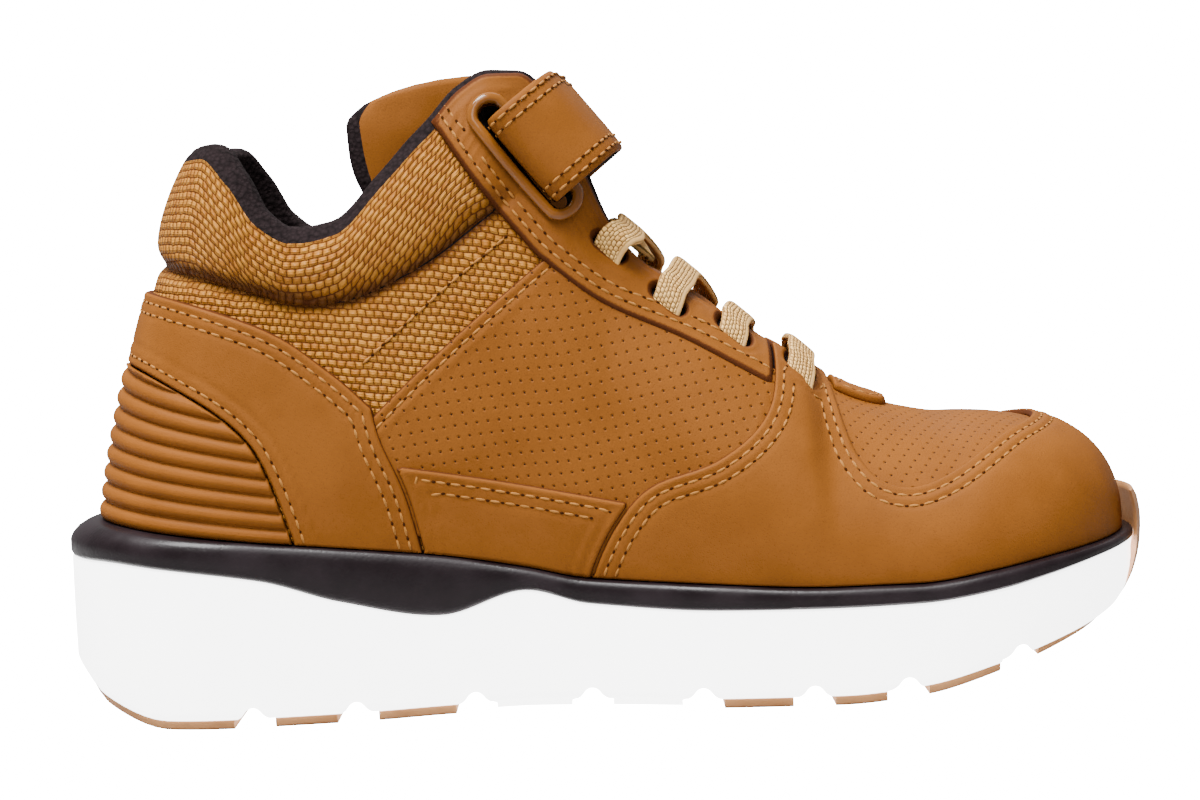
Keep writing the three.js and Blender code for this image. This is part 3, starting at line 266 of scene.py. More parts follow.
def sections(at, side):
    """Four control points, out and up, of each section's curve."""
    out = reach(at, side, HEEL_SETBACK, LENGTH - TOE_SETBACK, UPPER_INSET)
    x, dx, dy = stand(at, side)
    foot = np.stack([out, rand_top((x + dx * out) / LENGTH) * HEIGHT + GAP], -1)
    end = np.stack([edge_half(at) * BALL_HALF, edge_top(at) * HEIGHT], -1)
    tall = end[..., 1] - foot[..., 1]
    low = foot + np.stack([belly(at) * BALL_HALF, rise(at) * tall], -1)
    high = end + np.stack([shoulder(at) * BALL_HALF, -drop(at) * tall], -1)
    return np.stack([foot, low, high, end], -2)


def cubic(points, t):
    """Point and way along each section at share t."""
    a, b, c, d = [points[..., i, :] for i in range(4)]
    t = t[..., None]
    r = 1 - t
    spot = a * r**3 + 3 * b * r * r * t + 3 * c * r * t * t + d * t**3
    way = (b - a) * r * r + 2 * (c - b) * r * t + (d - c) * t * t
    return spot, way


def share_at(at, side, z):
    """Share of the way up a section at which it reaches height z."""
    points = sections(at, side)
    low, high = np.zeros(np.shape(at)), np.ones(np.shape(at))
    for _ in range(30):
        t = (low + high) / 2
        held = cubic(points, t)[0][..., 1] < z
        low = np.where(held, t, low)
        high = np.where(held, high, t)
    return low


print("half-width at the ball:", round(float(reach(np.array(1.8), np.array(1))), 1), "mm")

# %% [markdown]
# The upper isn't evenly thick. The collar is padded and bulges over a stitched groove, and the wing that
# carries the strap has a thinner pad. Both fade out smoothly along the foot.

# %% Padding of the wall
def collar_fade(at):
    return 1 - smooth(COLLAR_FRONT - COLLAR_FADE, COLLAR_FRONT, at)


def relief(at, z):
    """Groove under the collar and the collar's bulge above it."""
    seam = seam_height(at) * HEIGHT
    top = edge_top(at) * HEIGHT
    above = np.clip((z - seam) / (top - seam), 0, 1)
    groove = -COLLAR_SEAM_DEPTH * np.exp(-(((z - seam) / COLLAR_SEAM_WIDTH) ** 2))
    return collar_fade(at) * (groove + COLLAR_BULGE * np.sin(math.pi * above**0.8) ** 0.6)


def wall_inside(at, z):
    seam = seam_height(at) * HEIGHT
    wing = smooth(COLLAR_FRONT - COLLAR_FADE, COLLAR_FRONT, at) * (1 - smooth(1.44, 1.54, at))
    return WALL + smooth(seam - 5, seam + 7, z) * (COLLAR_PAD * collar_fade(at) + WING_PAD * wing)


def surface(at, side, t):
    """Point of the last, and the way out of it in the section's own plane."""
    spot, way = cubic(sections(at, side), t)
    size = np.hypot(way[..., 0], way[..., 1])
    level = t <= 0
    out = np.where(level, 1.0, way[..., 1] / size)
    up = np.where(level, 0.0, -way[..., 0] / size)
    x, dx, dy = stand(at, side)
    point = np.stack([x + dx * spot[..., 0], dy * spot[..., 0], spot[..., 1]], -1)
    return point, np.stack([dx * out, dy * out, up], -1)


def on_side(x, z, side, push):
    """Point over the spot x, z of the side view, push away from the last."""
    x, z = np.atleast_1d(x).astype(float), np.atleast_1d(z).astype(float)
    at = 1 + (x - HEEL_AXIS) / (TOE_AXIS - HEEL_AXIS)
    side = np.full(at.shape, side)
    point, way = surface(at, side, share_at(at, side, z))
    return point + way * (push + relief(at, z))[:, None]


print("wall at the collar:", round(float(wall_inside(0.0, 0.85 * HEIGHT)), 1), "mm")


# %% [markdown]
# The whole outside of the upper is laid once as a fine net, about a millimetre between its threads. Every
# panel is then cut out of this net along its own outline, so neighbours follow the same curves. Each point
# keeps its place, the way out of the last, its distance from the rand and from the ridge, and a cloth
# direction, so that weave and pinholes can follow the foot.

# %% The net of the upper
HEEL_COLUMNS, BODY_COLUMNS, TOE_COLUMNS, NET_ROWS = 56, 128, 48, 96
FINE_STEPS, HEEL_GIRTH, WELDS_PER_MM = 241, 50, 2000


def net():
    """The last's outside as a table of points and their triangles."""
    at = np.concatenate([
        np.arange(HEEL_COLUMNS) / HEEL_COLUMNS,
        1 + np.arange(BODY_COLUMNS) / BODY_COLUMNS,
        2 + np.arange(TOE_COLUMNS + 1) / TOE_COLUMNS,
    ])
    ring_at = np.concatenate([at, at[-2:0:-1]])
    ring_side = np.concatenate([np.full(len(at), -1), np.full(len(at) - 2, 1)])
    columns = len(ring_at)
    fine = np.linspace(0, 1, FINE_STEPS)
    a2 = np.repeat(ring_at[:, None], len(fine), 1)
    s2 = np.repeat(ring_side[:, None], len(fine), 1)
    line, _ = surface(a2, s2, np.repeat(fine[None], columns, 0))
    run = np.cumsum(np.linalg.norm(np.diff(line, axis=1), axis=2), 1)
    length = np.concatenate([np.zeros((columns, 1)), run], 1)
    rows = np.linspace(0, 1, NET_ROWS + 1)
    t = np.stack([np.interp(rows * one[-1], one, fine) for one in length])
    a2 = np.repeat(ring_at[:, None], NET_ROWS + 1, 1)
    s2 = np.repeat(ring_side[:, None], NET_ROWS + 1, 1)
    point, way = surface(a2, s2, t)
    arc = rows[None] * length[:, -1:]
    girth = np.where(a2 < 1, (a2 - 1) * HEEL_GIRTH, (a2 - 1) * (TOE_AXIS - HEEL_AXIS))
    ridge = length[:, -1:] - arc
    turn = (3 - a2) * math.pi / 2
    over = np.where(a2 < 1, HEEL_AXIS + girth, point[..., 0])
    over = np.where(a2 > 2, TOE_AXIS + ridge * np.cos(turn), over)
    across = s2 * np.where(a2 > 2, ridge * np.sin(turn), ridge)
    data = {
        "p": point, "way": way, "at": a2, "t": t, "side": s2.astype(float), "arc": arc, "ridge": ridge,
        "girth": girth, "over": over, "across": across, "relief": relief(a2, point[..., 2]),
        "wall": wall_inside(a2, point[..., 2]),
    }
    count = columns * (NET_ROWS + 1)
    data = {name: column.reshape(count, *column.shape[2:]) for name, column in data.items()}
    k, r = np.meshgrid(np.arange(columns), np.arange(NET_ROWS), indexing="ij")
    here, there = k * (NET_ROWS + 1) + r, ((k + 1) % columns) * (NET_ROWS + 1) + r
    quads = np.stack([here, there, there + 1, here + 1], -1).reshape(-1, 4)
    tris = np.concatenate([quads[:, [0, 1, 2]], quads[:, [0, 2, 3]]])
    return weld(data, tris)


def weld(data, tris):
    """Joins points that share a place, and drops what has no area."""
    places = np.round(data["p"] * WELDS_PER_MM).astype(np.int64)
    _, first, back = np.unique(places, axis=0, return_index=True, return_inverse=True)
    tris = back.reshape(-1)[tris]
    good = (tris[:, 0] != tris[:, 1]) & (tris[:, 1] != tris[:, 2]) & (tris[:, 2] != tris[:, 0])
    return {name: column[first] for name, column in data.items()}, tris[good]


NET, NET_TRIS = net()
print("net:", len(NET["p"]), "points", len(NET_TRIS), "triangles")

# %% [markdown]
# A pattern maker cuts panels out of flat leather. Here the net is cut instead: a value is given to each of
# its points, such as the distance from a seam, and triangles are parted where that value passes a level. The
# same cut also gives the lines that the stitching follows.

# %% Cutting the net
def cut(data, tris, value, level=0.0):
    """Parts triangles along value == level. The new points lie on the line."""
    v = value - level
    v = np.where(np.abs(v) < 1e-7, 0.0, v)
    sign = np.sign(v)
    pairs = np.concatenate([tris[:, [0, 1]], tris[:, [1, 2]], tris[:, [2, 0]]])
    pairs = np.sort(pairs, 1)
    crossing = sign[pairs[:, 0]] * sign[pairs[:, 1]] < 0
    keys = pairs[:, 0].astype(np.int64) * len(v) + pairs[:, 1]
    unique = np.unique(keys[crossing])
    a, b = unique // len(v), unique % len(v)
    share = v[a] / (v[a] - v[b])
    made = {}
    for name, column in data.items():
        s = share.reshape(-1, *([1] * (column.ndim - 1)))
        made[name] = np.concatenate([column, column[a] + (column[b] - column[a]) * s])
    new_value = np.concatenate([np.where(v == 0, level, value), np.full(len(unique), level)])
    point = {}
    number = np.full(len(keys), -1)
    number[crossing] = len(v) + np.searchsorted(unique, keys[crossing])
    n = len(tris)
    n01, n12, n20 = number[:n], number[n:2 * n], number[2 * n:]
    out = []
    turned = [(0, 1, 2, n01, n12, n20), (1, 2, 0, n12, n20, n01), (2, 0, 1, n20, n01, n12)]
    out.append(tris[(n01 < 0) & (n12 < 0) & (n20 < 0)])
    for i, j, k, ij, jk, ki in turned:
        two = (ij >= 0) & (ki >= 0)
        p, q, r = tris[two, i], tris[two, j], tris[two, k]
        out.append(np.stack([p, ij[two], ki[two]], 1))
        out.append(np.stack([ij[two], q, r], 1))
        out.append(np.stack([ij[two], r, ki[two]], 1))
        one = (jk >= 0) & (ij < 0) & (ki < 0)
        p, q, r = tris[one, i], tris[one, j], tris[one, k]
        out += [np.stack([p, q, jk[one]], 1), np.stack([p, jk[one], r], 1)]
    return made, np.concatenate(out), new_value


def keep(data, tris, value, level=0.0):
    """Cuts along the line and keeps the side above it, without unused points."""
    data, tris, value = cut(data, tris, value, level)
    data = {**data, "value": value}
    inside = (value[tris] >= level - 1e-7).all(1) & (value[tris] > level + 1e-7).any(1)
    return used(data, tris[inside])


def used(data, tris):
    number, back = np.unique(tris, return_inverse=True)
    return {name: column[number] for name, column in data.items()}, back.reshape(-1, 3)


def border(tris):
    """Edges that only one triangle has, in that triangle's direction."""
    edges = np.concatenate([tris[:, [0, 1]], tris[:, [1, 2]], tris[:, [2, 0]]])
    high = int(tris.max()) + 1
    keys = np.minimum(edges[:, 0], edges[:, 1]).astype(np.int64) * high + np.maximum(edges[:, 0], edges[:, 1])
    _, first, count = np.unique(keys, return_index=True, return_counts=True)
    return edges[first[count == 1]]


def away(data, from_points):
    """Distance of every point from the nearest of some points."""
    tree = kdtree.KDTree(len(from_points))
    for i, point in enumerate(from_points):
        tree.insert(point, i)
    tree.balance()
    return np.array([tree.find(point)[2] for point in data["p"]])


def along_edges(points, edges, step=0.25):
    """Points every step or so along edges."""
    a, b = points[edges[:, 0]], points[edges[:, 1]]
    count = np.maximum(1, np.ceil(np.linalg.norm(b - a, axis=1) / step)).astype(int)
    which = np.repeat(np.arange(len(a)), count)
    share = np.concatenate([np.arange(n) / n for n in count])[:, None]
    return a[which] + (b[which] - a[which]) * share


def chains(pairs):
    """Edges put in order as lines of point numbers."""
    nearby = {}
    for a, b in pairs.tolist():
        nearby.setdefault(a, []).append(b)
        nearby.setdefault(b, []).append(a)
    lines, left = [], set(nearby)
    starts = [n for n in nearby if len(nearby[n]) == 1] + list(nearby)
    for start in starts:
        if start not in left:
            continue
        line = [start]
        left.discard(start)
        while True:
            onward = [n for n in nearby[line[-1]] if n in left]
            if not onward:
                break
            line.append(onward[0])
            left.discard(onward[0])
        if len(line) > 2 and line[0] in nearby[line[-1]]:
            line.append(line[0])
        lines.append(line)
    return lines


def level_lines(data, tris, value, level):
    """The line value == level as rows of points, with all their data."""
    made, cut_tris, new_value = cut(data, tris, value, level)
    on = np.abs(new_value - level) < 1e-9
    edges = np.concatenate([cut_tris[:, [0, 1]], cut_tris[:, [1, 2]], cut_tris[:, [2, 0]]])
    edges = edges[on[edges].all(1)]
    edges = np.unique(np.sort(edges, 1), axis=0)
    return [{name: column[line] for name, column in made.items()} for line in chains(edges)]


print("open edges of the net:", len(border(NET_TRIS)))

# %% [markdown]
# The seams are drawn in the side view, as the photograph shows them. Each is a short row of points, in
# shares of the boot's length and height, with a smooth line through them. Closed zones made of such lines
# say which part of the net a panel takes.

# %% Outlines in the side view
def spline(points, steps=8):
    """Smooth line through points, as a pattern maker's curve."""
    p = np.asarray(points, float)
    if len(p) < 3:
        return p
    padded = np.concatenate([p[:1], p, p[-1:]])
    u = (np.arange(steps) / steps)[:, None]
    rows = []
    for i in range(len(p) - 1):
        a, b, c, d = padded[i:i + 4]
        v0, v1 = (c - a) / 2, (d - b) / 2
        rows.append((2 * b - 2 * c + v0 + v1) * u**3 + (-3 * b + 3 * c - 2 * v0 - v1) * u**2 + v0 * u + b)
    return np.concatenate(rows + [p[-1:]])


def outline(*stretches):
    return np.concatenate([spline(np.asarray(s, float) * [LENGTH, HEIGHT]) for s in stretches])


def within(shape, data):
    """Distance inside an outline of the side view, negative outside it."""
    p = data["p"][:, [0, 2]]
    best = np.full(len(p), 1e9)
    inside = np.zeros(len(p), bool)
    for a, b in zip(shape, np.roll(shape, -1, 0)):
        e, w = b - a, p - a
        if e @ e < 1e-9:
            continue
        h = np.clip((w @ e) / (e @ e), 0, 1)
        best = np.minimum(best, np.hypot(w[:, 0] - h * e[0], w[:, 1] - h * e[1]))
        crosses = (a[1] > p[:, 1]) != (b[1] > p[:, 1])
        if e[1] != 0:
            inside ^= crosses & (p[:, 0] < a[0] + e[0] * (p[:, 1] - a[1]) / e[1])
    return np.where(inside, best, -best)


def within_oval(centre, turn, length, width, data):
    """Distance inside an oval of the side view."""
    p = data["p"][:, [0, 2]] - centre
    along = np.array([math.cos(turn), -math.sin(turn)])
    half = (length - width) / 2
    s = np.clip(p @ along, -half, half)
    rest = p - s[:, None] * along
    return width / 2 - np.hypot(rest[:, 0], rest[:, 1])


# %% Seams of the side view, in shares of the length and height
EYESTAY_REAR = [(0.348, 0.95), (0.362, 0.915), (0.393, 0.83), (0.421, 0.765), (0.451, 0.7)]
EYESTAY_LOW = [(0.451, 0.7), (0.506, 0.622), (0.577, 0.559), (0.626, 0.509), (0.653, 0.481)]
COLLAR_LINE = [
    (0.02, 0.74), (0.12, 0.712), (0.188, 0.676), (0.248, 0.648),
    (0.294, 0.655), (0.358, 0.705), (0.412, 0.77), (0.47, 0.84),
]
COUNTER_TOP = [(-0.05, 0.7), (0.095, 0.672), (0.2, 0.615), (0.262, 0.54), (0.298, 0.482)]
COUNTER_FRONT = [(0.298, 0.482), (0.305, 0.43), (0.325, 0.34), (0.342, 0.2)]
RIB_WINDOW = [(-0.05, 0.575), (0.06, 0.565), (0.128, 0.52), (0.18, 0.455), (0.206, 0.375), (0.232, 0.22)]
GUARD_REAR = [
    (0.48, 0.15), (0.487, 0.215), (0.51, 0.29), (0.542, 0.345),
    (0.6, 0.378), (0.642, 0.43), (0.658, 0.5), (0.66, 0.62),
]
VAMP_SEAM = [
    (0.702, 0.62), (0.717, 0.42), (0.735, 0.345), (0.765, 0.318),
    (0.805, 0.332), (0.86, 0.38), (0.922, 0.415), (0.94, 0.5),
]
MID_PANEL_TOP = [(0.25, 0.41), (0.31, 0.395), (0.42, 0.358), (0.56, 0.305)]
COLLAR_ZONE = outline(COLLAR_LINE, [(0.47, 1.2), (-0.1, 1.2), (-0.1, 0.74)])
EYESTAY_FRONT = [(0.66, 0.484), (0.665, 0.5)]
EYESTAY_ZONE = outline(EYESTAY_REAR, EYESTAY_LOW, EYESTAY_FRONT, [(0.665, 1.3), (0.348, 1.3)])
COUNTER_ZONE = outline(COUNTER_TOP, COUNTER_FRONT, [(0.342, 0.1), (-0.1, 0.1)], [(-0.1, 0.7)])
WINDOW_ZONE = outline(RIB_WINDOW, [(0.232, 0.1), (-0.1, 0.1)], [(-0.1, 0.575)])
GUARD_ZONE = outline(GUARD_REAR, VAMP_SEAM, [(1.1, 0.5), (1.1, 0.1)], [(0.48, 0.1)])
MID_ZONE = outline(MID_PANEL_TOP, [(0.56, 0.1), (0.25, 0.1)])
print("points of the net in the counter's zone:", int((within(COUNTER_ZONE, NET) > 0).sum()))

# %% [markdown]
# Two helpers turn points into pieces. One makes a mesh whose place is in its points, with its cloth
# directions as a UV map. The other closes a cut of the net with an inner face and a rounded rim.

# %% From points to pieces
def to_row(points):
    return (np.asarray(points) - CENTRE) * MM


def piece(name, points, faces, materials, which=None, uv=None, marks=None, angle=60):
    """A finished piece at the origin, its place in its mesh, from points in millimetres."""
    mesh = bpy.data.meshes.new(name)
    mesh.from_pydata(to_row(points).tolist(), [], [tuple(face) for face in faces])
    for material in materials:
        mesh.materials.append(material)
    if which is not None:
        mesh.polygons.foreach_set("material_index", np.asarray(which, np.int32))
    corners = np.empty(len(mesh.loops), np.int32)
    mesh.loops.foreach_get("vertex_index", corners)
    if uv is not None:
        layer = mesh.uv_layers.new(name="UVMap")
        layer.data.foreach_set("uv", np.asarray(uv, np.float32)[corners].ravel())
    for mark, values in (marks or {}).items():
        attribute = mesh.attributes.new(mark, "FLOAT", "POINT")
        attribute.data.foreach_set("value", np.asarray(values, np.float32))
    mesh.validate()
    thing = bpy.data.objects.new(name, mesh)
    bpy.context.collection.objects.link(thing)
    mesh.shade_smooth()
    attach(thing, "root")
    return thing


def slab(name, data, tris, outside, inside, materials, uv, rim=1, marks=None, rim_out=0.5):
    """A closed skin over a cut of the net, between two distances from the last."""
    n = len(data["p"])
    top = data["p"] + data["way"] * outside[:, None]
    low = data["p"] - data["way"] * inside[:, None]
    edges = border(tris)
    numbers = np.unique(edges)
    place = np.full(n, -1)
    place[numbers] = np.arange(len(numbers))
    points, rows = [top], [np.arange(n)]
    middle, half = (top[numbers] + low[numbers]) / 2, (top[numbers] - low[numbers]) / 2
    outward = np.zeros((n, 3))
    run = top[edges[:, 1]] - top[edges[:, 0]]
    push = np.cross(run, data["way"][edges[:, 0]])
    np.add.at(outward, edges[:, 0], push)
    np.add.at(outward, edges[:, 1], push)
    outward = outward[numbers]
    outward /= np.maximum(np.linalg.norm(outward, axis=1, keepdims=True), TINY)
    size = np.linalg.norm(half, axis=1, keepdims=True)
    strips = [numbers]
    count = n
    for step in range(1, rim):
        turn = math.pi * step / rim
        points.append(middle + half * math.cos(turn) + outward * size * rim_out * math.sin(turn))
        strips.append(count + np.arange(len(numbers)))
        count += len(numbers)
    points.append(low)
    strips.append(count + numbers)
    faces = [tris, tris[:, ::-1] + count]
    which = [np.zeros(len(tris), int), np.ones(len(tris), int)]
    a, b = place[edges[:, 0]], place[edges[:, 1]]
    for step in range(rim):
        one, two = strips[step], strips[step + 1]
        quads = np.stack([one[b], one[a], two[a], two[b]], 1)
        faces += [quads[:, [0, 1, 2]], quads[:, [0, 2, 3]]]
        which += [np.full(2 * len(quads), 2)]
    points = np.concatenate(points)
    faces = np.concatenate(faces)
    which = np.concatenate(which)

    def spread(column):
        rim_rows = [column[numbers]] * (rim - 1)
        return np.concatenate([column, *rim_rows, column])

    index = np.minimum(which, len(materials) - 1)
    marks = {key: spread(column) for key, column in (marks or {}).items()}
    return piece(name, points, faces, materials, index, spread(uv), marks)

# %% [markdown]
# Materials come next. An effect that several of them share, such as leather grain, a weave or a pattern of
# pinholes, is a node group that is built once. Lengths in the groups are millimetres, because every piece
# carries a UV map laid out in millimetres along the foot.

# %% Helpers for node trees
def put(tree, kind, values=None, **settings):
    """A node with its settings, and its inputs given a value or a link."""
    node = tree.nodes.new(kind)
    for key, value in settings.items():
        setattr(node, key, value)
    for key, value in (values or {}).items():
        if isinstance(value, bpy.types.NodeSocket):
            tree.links.new(value, node.inputs[key])
        else:
            node.inputs[key].default_value = value
    return node


def calc(tree, operation, a, b=0.0, c=None, clamp=False):
    values = {0: a, 1: b} if c is None else {0: a, 1: b, 2: c}
    return put(tree, "ShaderNodeMath", values, operation=operation, use_clamp=clamp).outputs[0]


def remap(tree, value, low, high, to_low=0.0, to_high=1.0):
    values = {"Value": value, "From Min": low, "From Max": high, "To Min": to_low, "To Max": to_high}
    return put(tree, "ShaderNodeMapRange", values, interpolation_type="SMOOTHSTEP").outputs["Result"]


def mix(tree, share, a, b):
    values = {"Factor": share, "A": a, "B": b}
    node = tree.nodes.new("ShaderNodeMix")
    node.data_type = "RGBA"
    for key, index in (("Factor", 0), ("A", 6), ("B", 7)):
        value = values[key]
        if isinstance(value, bpy.types.NodeSocket):
            tree.links.new(value, node.inputs[index])
        else:
            node.inputs[index].default_value = value
    return node.outputs[2]


def group(name, inputs, outputs):
    """An empty node group with named float or vector sockets."""
    tree = bpy.data.node_groups.new(name, "ShaderNodeTree")
    for socket, kind, value in inputs:
        made = tree.interface.new_socket(socket, in_out="INPUT", socket_type=kind)
        if value is not None:
            made.default_value = value
    for socket, kind in outputs:
        tree.interface.new_socket(socket, in_out="OUTPUT", socket_type=kind)
    return tree, put(tree, "NodeGroupInput").outputs, put(tree, "NodeGroupOutput").inputs


FLOAT, VECTOR = "NodeSocketFloat", "NodeSocketVector"
print("kinds of socket:", FLOAT, VECTOR)

# %% Group: leather grain
grain_group, here, out = group(
    "Leather grain",
    [("Vector", VECTOR, None), ("Size", FLOAT, 0.35)],
    [("Height", FLOAT), ("Cloud", FLOAT)],
)
scale = calc(grain_group, "DIVIDE", 1.0, here["Size"])
values = {"Vector": here["Vector"], "Scale": scale, "Detail": 3.0, "Roughness": 0.55}
fine = put(grain_group, "ShaderNodeTexNoise", values).outputs["Fac"]
values = {"Vector": here["Vector"], "Scale": calc(grain_group, "MULTIPLY", scale, 0.8)}
pores = put(grain_group, "ShaderNodeTexVoronoi", values)
pit = remap(grain_group, pores.outputs["Distance"], 0.0, 0.45)
fine_part = calc(grain_group, "MULTIPLY", fine, 0.7)
height = calc(grain_group, "MULTIPLY_ADD", pit, 0.3, fine_part)
grain_group.links.new(height, out["Height"])
values = {"Vector": here["Vector"], "Scale": 0.09, "Detail": 4.0}
cloud = put(grain_group, "ShaderNodeTexNoise", values).outputs["Fac"]
grain_group.links.new(remap(grain_group, cloud, 0.3, 0.7), out["Cloud"])

# %% Group: pinholes punched on a slanting grid
hole_group, here, out = group(
    "Pinholes",
    [("Vector", VECTOR, None), ("Pitch", FLOAT, 3.6), ("Radius", FLOAT, 0.3), ("Turn", FLOAT, 0.6)],
    [("Hole", FLOAT), ("Rim", FLOAT)],
)
values = {"Vector": here["Vector"], "Angle": here["Turn"]}
turned = put(hole_group, "ShaderNodeVectorRotate", values, rotation_type="Z_AXIS")
parts = put(hole_group, "ShaderNodeSeparateXYZ", {"Vector": turned.outputs[0]}).outputs
cells = []
for axis in ("X", "Y"):
    share = calc(hole_group, "DIVIDE", parts[axis], here["Pitch"])
    centred = calc(hole_group, "SUBTRACT", calc(hole_group, "FRACT", share), 0.5)
    cells.append(calc(hole_group, "MULTIPLY", centred, here["Pitch"]))
square = calc(hole_group, "ADD", *[calc(hole_group, "MULTIPLY", cell, cell) for cell in cells])
from_hole = calc(hole_group, "SUBTRACT", calc(hole_group, "SQRT", square), here["Radius"])
hole_group.links.new(remap(hole_group, from_hole, -0.06, 0.06, 1.0, 0.0), out["Hole"])
hole_group.links.new(remap(hole_group, from_hole, 0.0, 0.25, 1.0, 0.0), out["Rim"])

# %% Group: basket weave
weave_group, here, out = group(
    "Basket weave",
    [("Vector", VECTOR, None), ("Width", FLOAT, 1.7), ("Height", FLOAT, 1.25)],
    [("Height", FLOAT), ("Shaded gap", FLOAT), ("Tint", FLOAT)],
)
values = {"Vector": here["Vector"], "Scale": 0.35, "Detail": 2.0}
wobble = put(weave_group, "ShaderNodeTexNoise", values).outputs["Color"]
values = {0: wobble, 1: (0.5, 0.5, 0.5)}
shifted = put(weave_group, "ShaderNodeVectorMath", values, operation="SUBTRACT").outputs[0]
shifted = put(weave_group, "ShaderNodeVectorMath", {0: shifted, "Scale": 0.9}, operation="SCALE").outputs[0]
spot = put(weave_group, "ShaderNodeVectorMath", {0: here["Vector"], 1: shifted}, operation="ADD").outputs[0]
parts = put(weave_group, "ShaderNodeSeparateXYZ", {"Vector": spot}).outputs
row = calc(weave_group, "DIVIDE", parts["Y"], here["Height"])
odd = calc(weave_group, "FLOORED_MODULO", calc(weave_group, "FLOOR", row), 2.0)
odd = calc(weave_group, "MULTIPLY", odd, 0.5)
column = calc(weave_group, "ADD", calc(weave_group, "DIVIDE", parts["X"], here["Width"]), odd)
bumps = []
for share in (column, row):
    doubled = calc(weave_group, "MULTIPLY", calc(weave_group, "FRACT", share), 2.0)
    centred = calc(weave_group, "ABSOLUTE", calc(weave_group, "SUBTRACT", doubled, 1.0))
    bumps.append(calc(weave_group, "SUBTRACT", 1.0, calc(weave_group, "POWER", centred, 2.2)))
crown = calc(weave_group, "MULTIPLY", bumps[0], bumps[1])
thread = calc(weave_group, "SINE", calc(weave_group, "MULTIPLY", row, 18.85))
full = calc(weave_group, "ADD", crown, calc(weave_group, "MULTIPLY", thread, 0.06))
weave_group.links.new(full, out["Height"])
# Shaded gap is 1 in the gaps between threads and fades over the lower half of each cell's crown: the real
# gaps, and painted shade on the rounded cells.
weave_group.links.new(remap(weave_group, crown, 0.0, 0.5, 1.0, 0.0), out["Shaded gap"])
values = {0: calc(weave_group, "FLOOR", column), 1: calc(weave_group, "FLOOR", row)}
cell = put(weave_group, "ShaderNodeCombineXYZ", values)
chance = put(weave_group, "ShaderNodeTexWhiteNoise", {"Vector": cell.outputs[0]})
weave_group.links.new(chance.outputs["Value"], out["Tint"])
print("groups:", [tree.name for tree in bpy.data.node_groups])

# %% [markdown]
# The materials place those groups with their own values. Leather is matt and darker along a cut edge, the
# weave has dark gaps between its threads and painted shade towards the edges of its rounded cells, and the
# elastic is a coarse knit with one folded edge and the same painted shade between its loops. What has a
# plain skin, such as foam, rubber or the grommet, comes from one function.

# %% Materials
def start(name, roughness, **settings):
    """A new material: its tree, its shader, its UV and its object coordinates in millimetres."""
    material = bpy.data.materials.new(name)
    material.use_nodes = True
    tree = material.node_tree
    shader = tree.nodes["Principled BSDF"]
    shader.inputs["Roughness"].default_value = roughness
    for key, value in settings.items():
        shader.inputs[key.replace("_", " ")].default_value = value
    uv = put(tree, "ShaderNodeUVMap", uv_map="UVMap").outputs[0]
    coords = put(tree, "ShaderNodeTexCoord").outputs["Object"]
    spot = put(tree, "ShaderNodeVectorMath", {0: coords, "Scale": 1000.0}, operation="SCALE").outputs[0]
    return material, tree, shader, uv, spot


def placed(tree, source, values):
    node = put(tree, "ShaderNodeGroup", node_tree=source)
    for key, value in values.items():
        if isinstance(value, bpy.types.NodeSocket):
            tree.links.new(value, node.inputs[key])
        else:
            node.inputs[key].default_value = value
    return node.outputs


def bump(tree, shader, height, distance, strength=1.0, onto=None):
    values = {"Height": height, "Distance": distance * MM, "Strength": strength}
    if onto is not None:
        values["Normal"] = onto
    made = put(tree, "ShaderNodeBump", values).outputs[0]
    tree.links.new(made, shader.inputs["Normal"])
    return made


def leather_material(name, light, dark, holes=None, edges=True, grain=0.35, relief_mm=0.06):
    material, tree, shader, uv, spot = start(name, 0.65, Specular_IOR_Level=0.06)
    skin = placed(tree, grain_group, {"Vector": spot, "Size": grain})
    colour = mix(tree, skin["Cloud"], dark, light)
    colour = mix(tree, remap(tree, skin["Height"], 0.3, 0.6, 0.38, 0.0), colour, (0.09, 0.026, 0.004, 1))
    tree.links.new(remap(tree, skin["Cloud"], 0.0, 1.0, 0.5, 0.66), shader.inputs["Roughness"])
    normal = bump(tree, shader, skin["Height"], relief_mm)
    if holes:
        dots = placed(tree, hole_group, {"Vector": uv, **holes})
        colour = mix(tree, dots["Hole"], colour, (0.02, 0.006, 0.002, 1))
        normal = bump(tree, shader, calc(tree, "SUBTRACT", 1.0, dots["Rim"]), 0.12, 1.0, normal)
    if edges:
        edge = put(tree, "ShaderNodeAttribute", attribute_name="edge").outputs["Fac"]
        rough = put(tree, "ShaderNodeTexNoise", {"Vector": spot, "Scale": 1.6, "Detail": 3.0}).outputs["Fac"]
        raw = remap(tree, calc(tree, "ADD", edge, calc(tree, "MULTIPLY", rough, 0.2)), 0.4, 0.62, 1.0, 0.0)
        colour = mix(tree, calc(tree, "MULTIPLY", raw, 0.9), colour, (0.055, 0.014, 0.004, 1))
    tree.links.new(colour, shader.inputs["Base Color"])
    return material


TAN, TAN_DARK = (0.2, 0.067, 0.0105, 1), (0.173, 0.057, 0.0085, 1)
leather = leather_material("Wheat nubuck", TAN, TAN_DARK)
leather_bare = leather_material("Wheat nubuck, lined", TAN, TAN_DARK, edges=False)
holes_here = {"Pitch": 2.2, "Radius": 0.19, "Turn": 0.27}
quarter_leather = leather_material("Perforated nubuck, quarter", TAN, TAN_DARK, holes_here)
holes_here = {**holes_here, "Turn": 0.5}
vamp_leather = leather_material("Perforated nubuck, vamp", TAN, TAN_DARK, holes_here, edges=False)


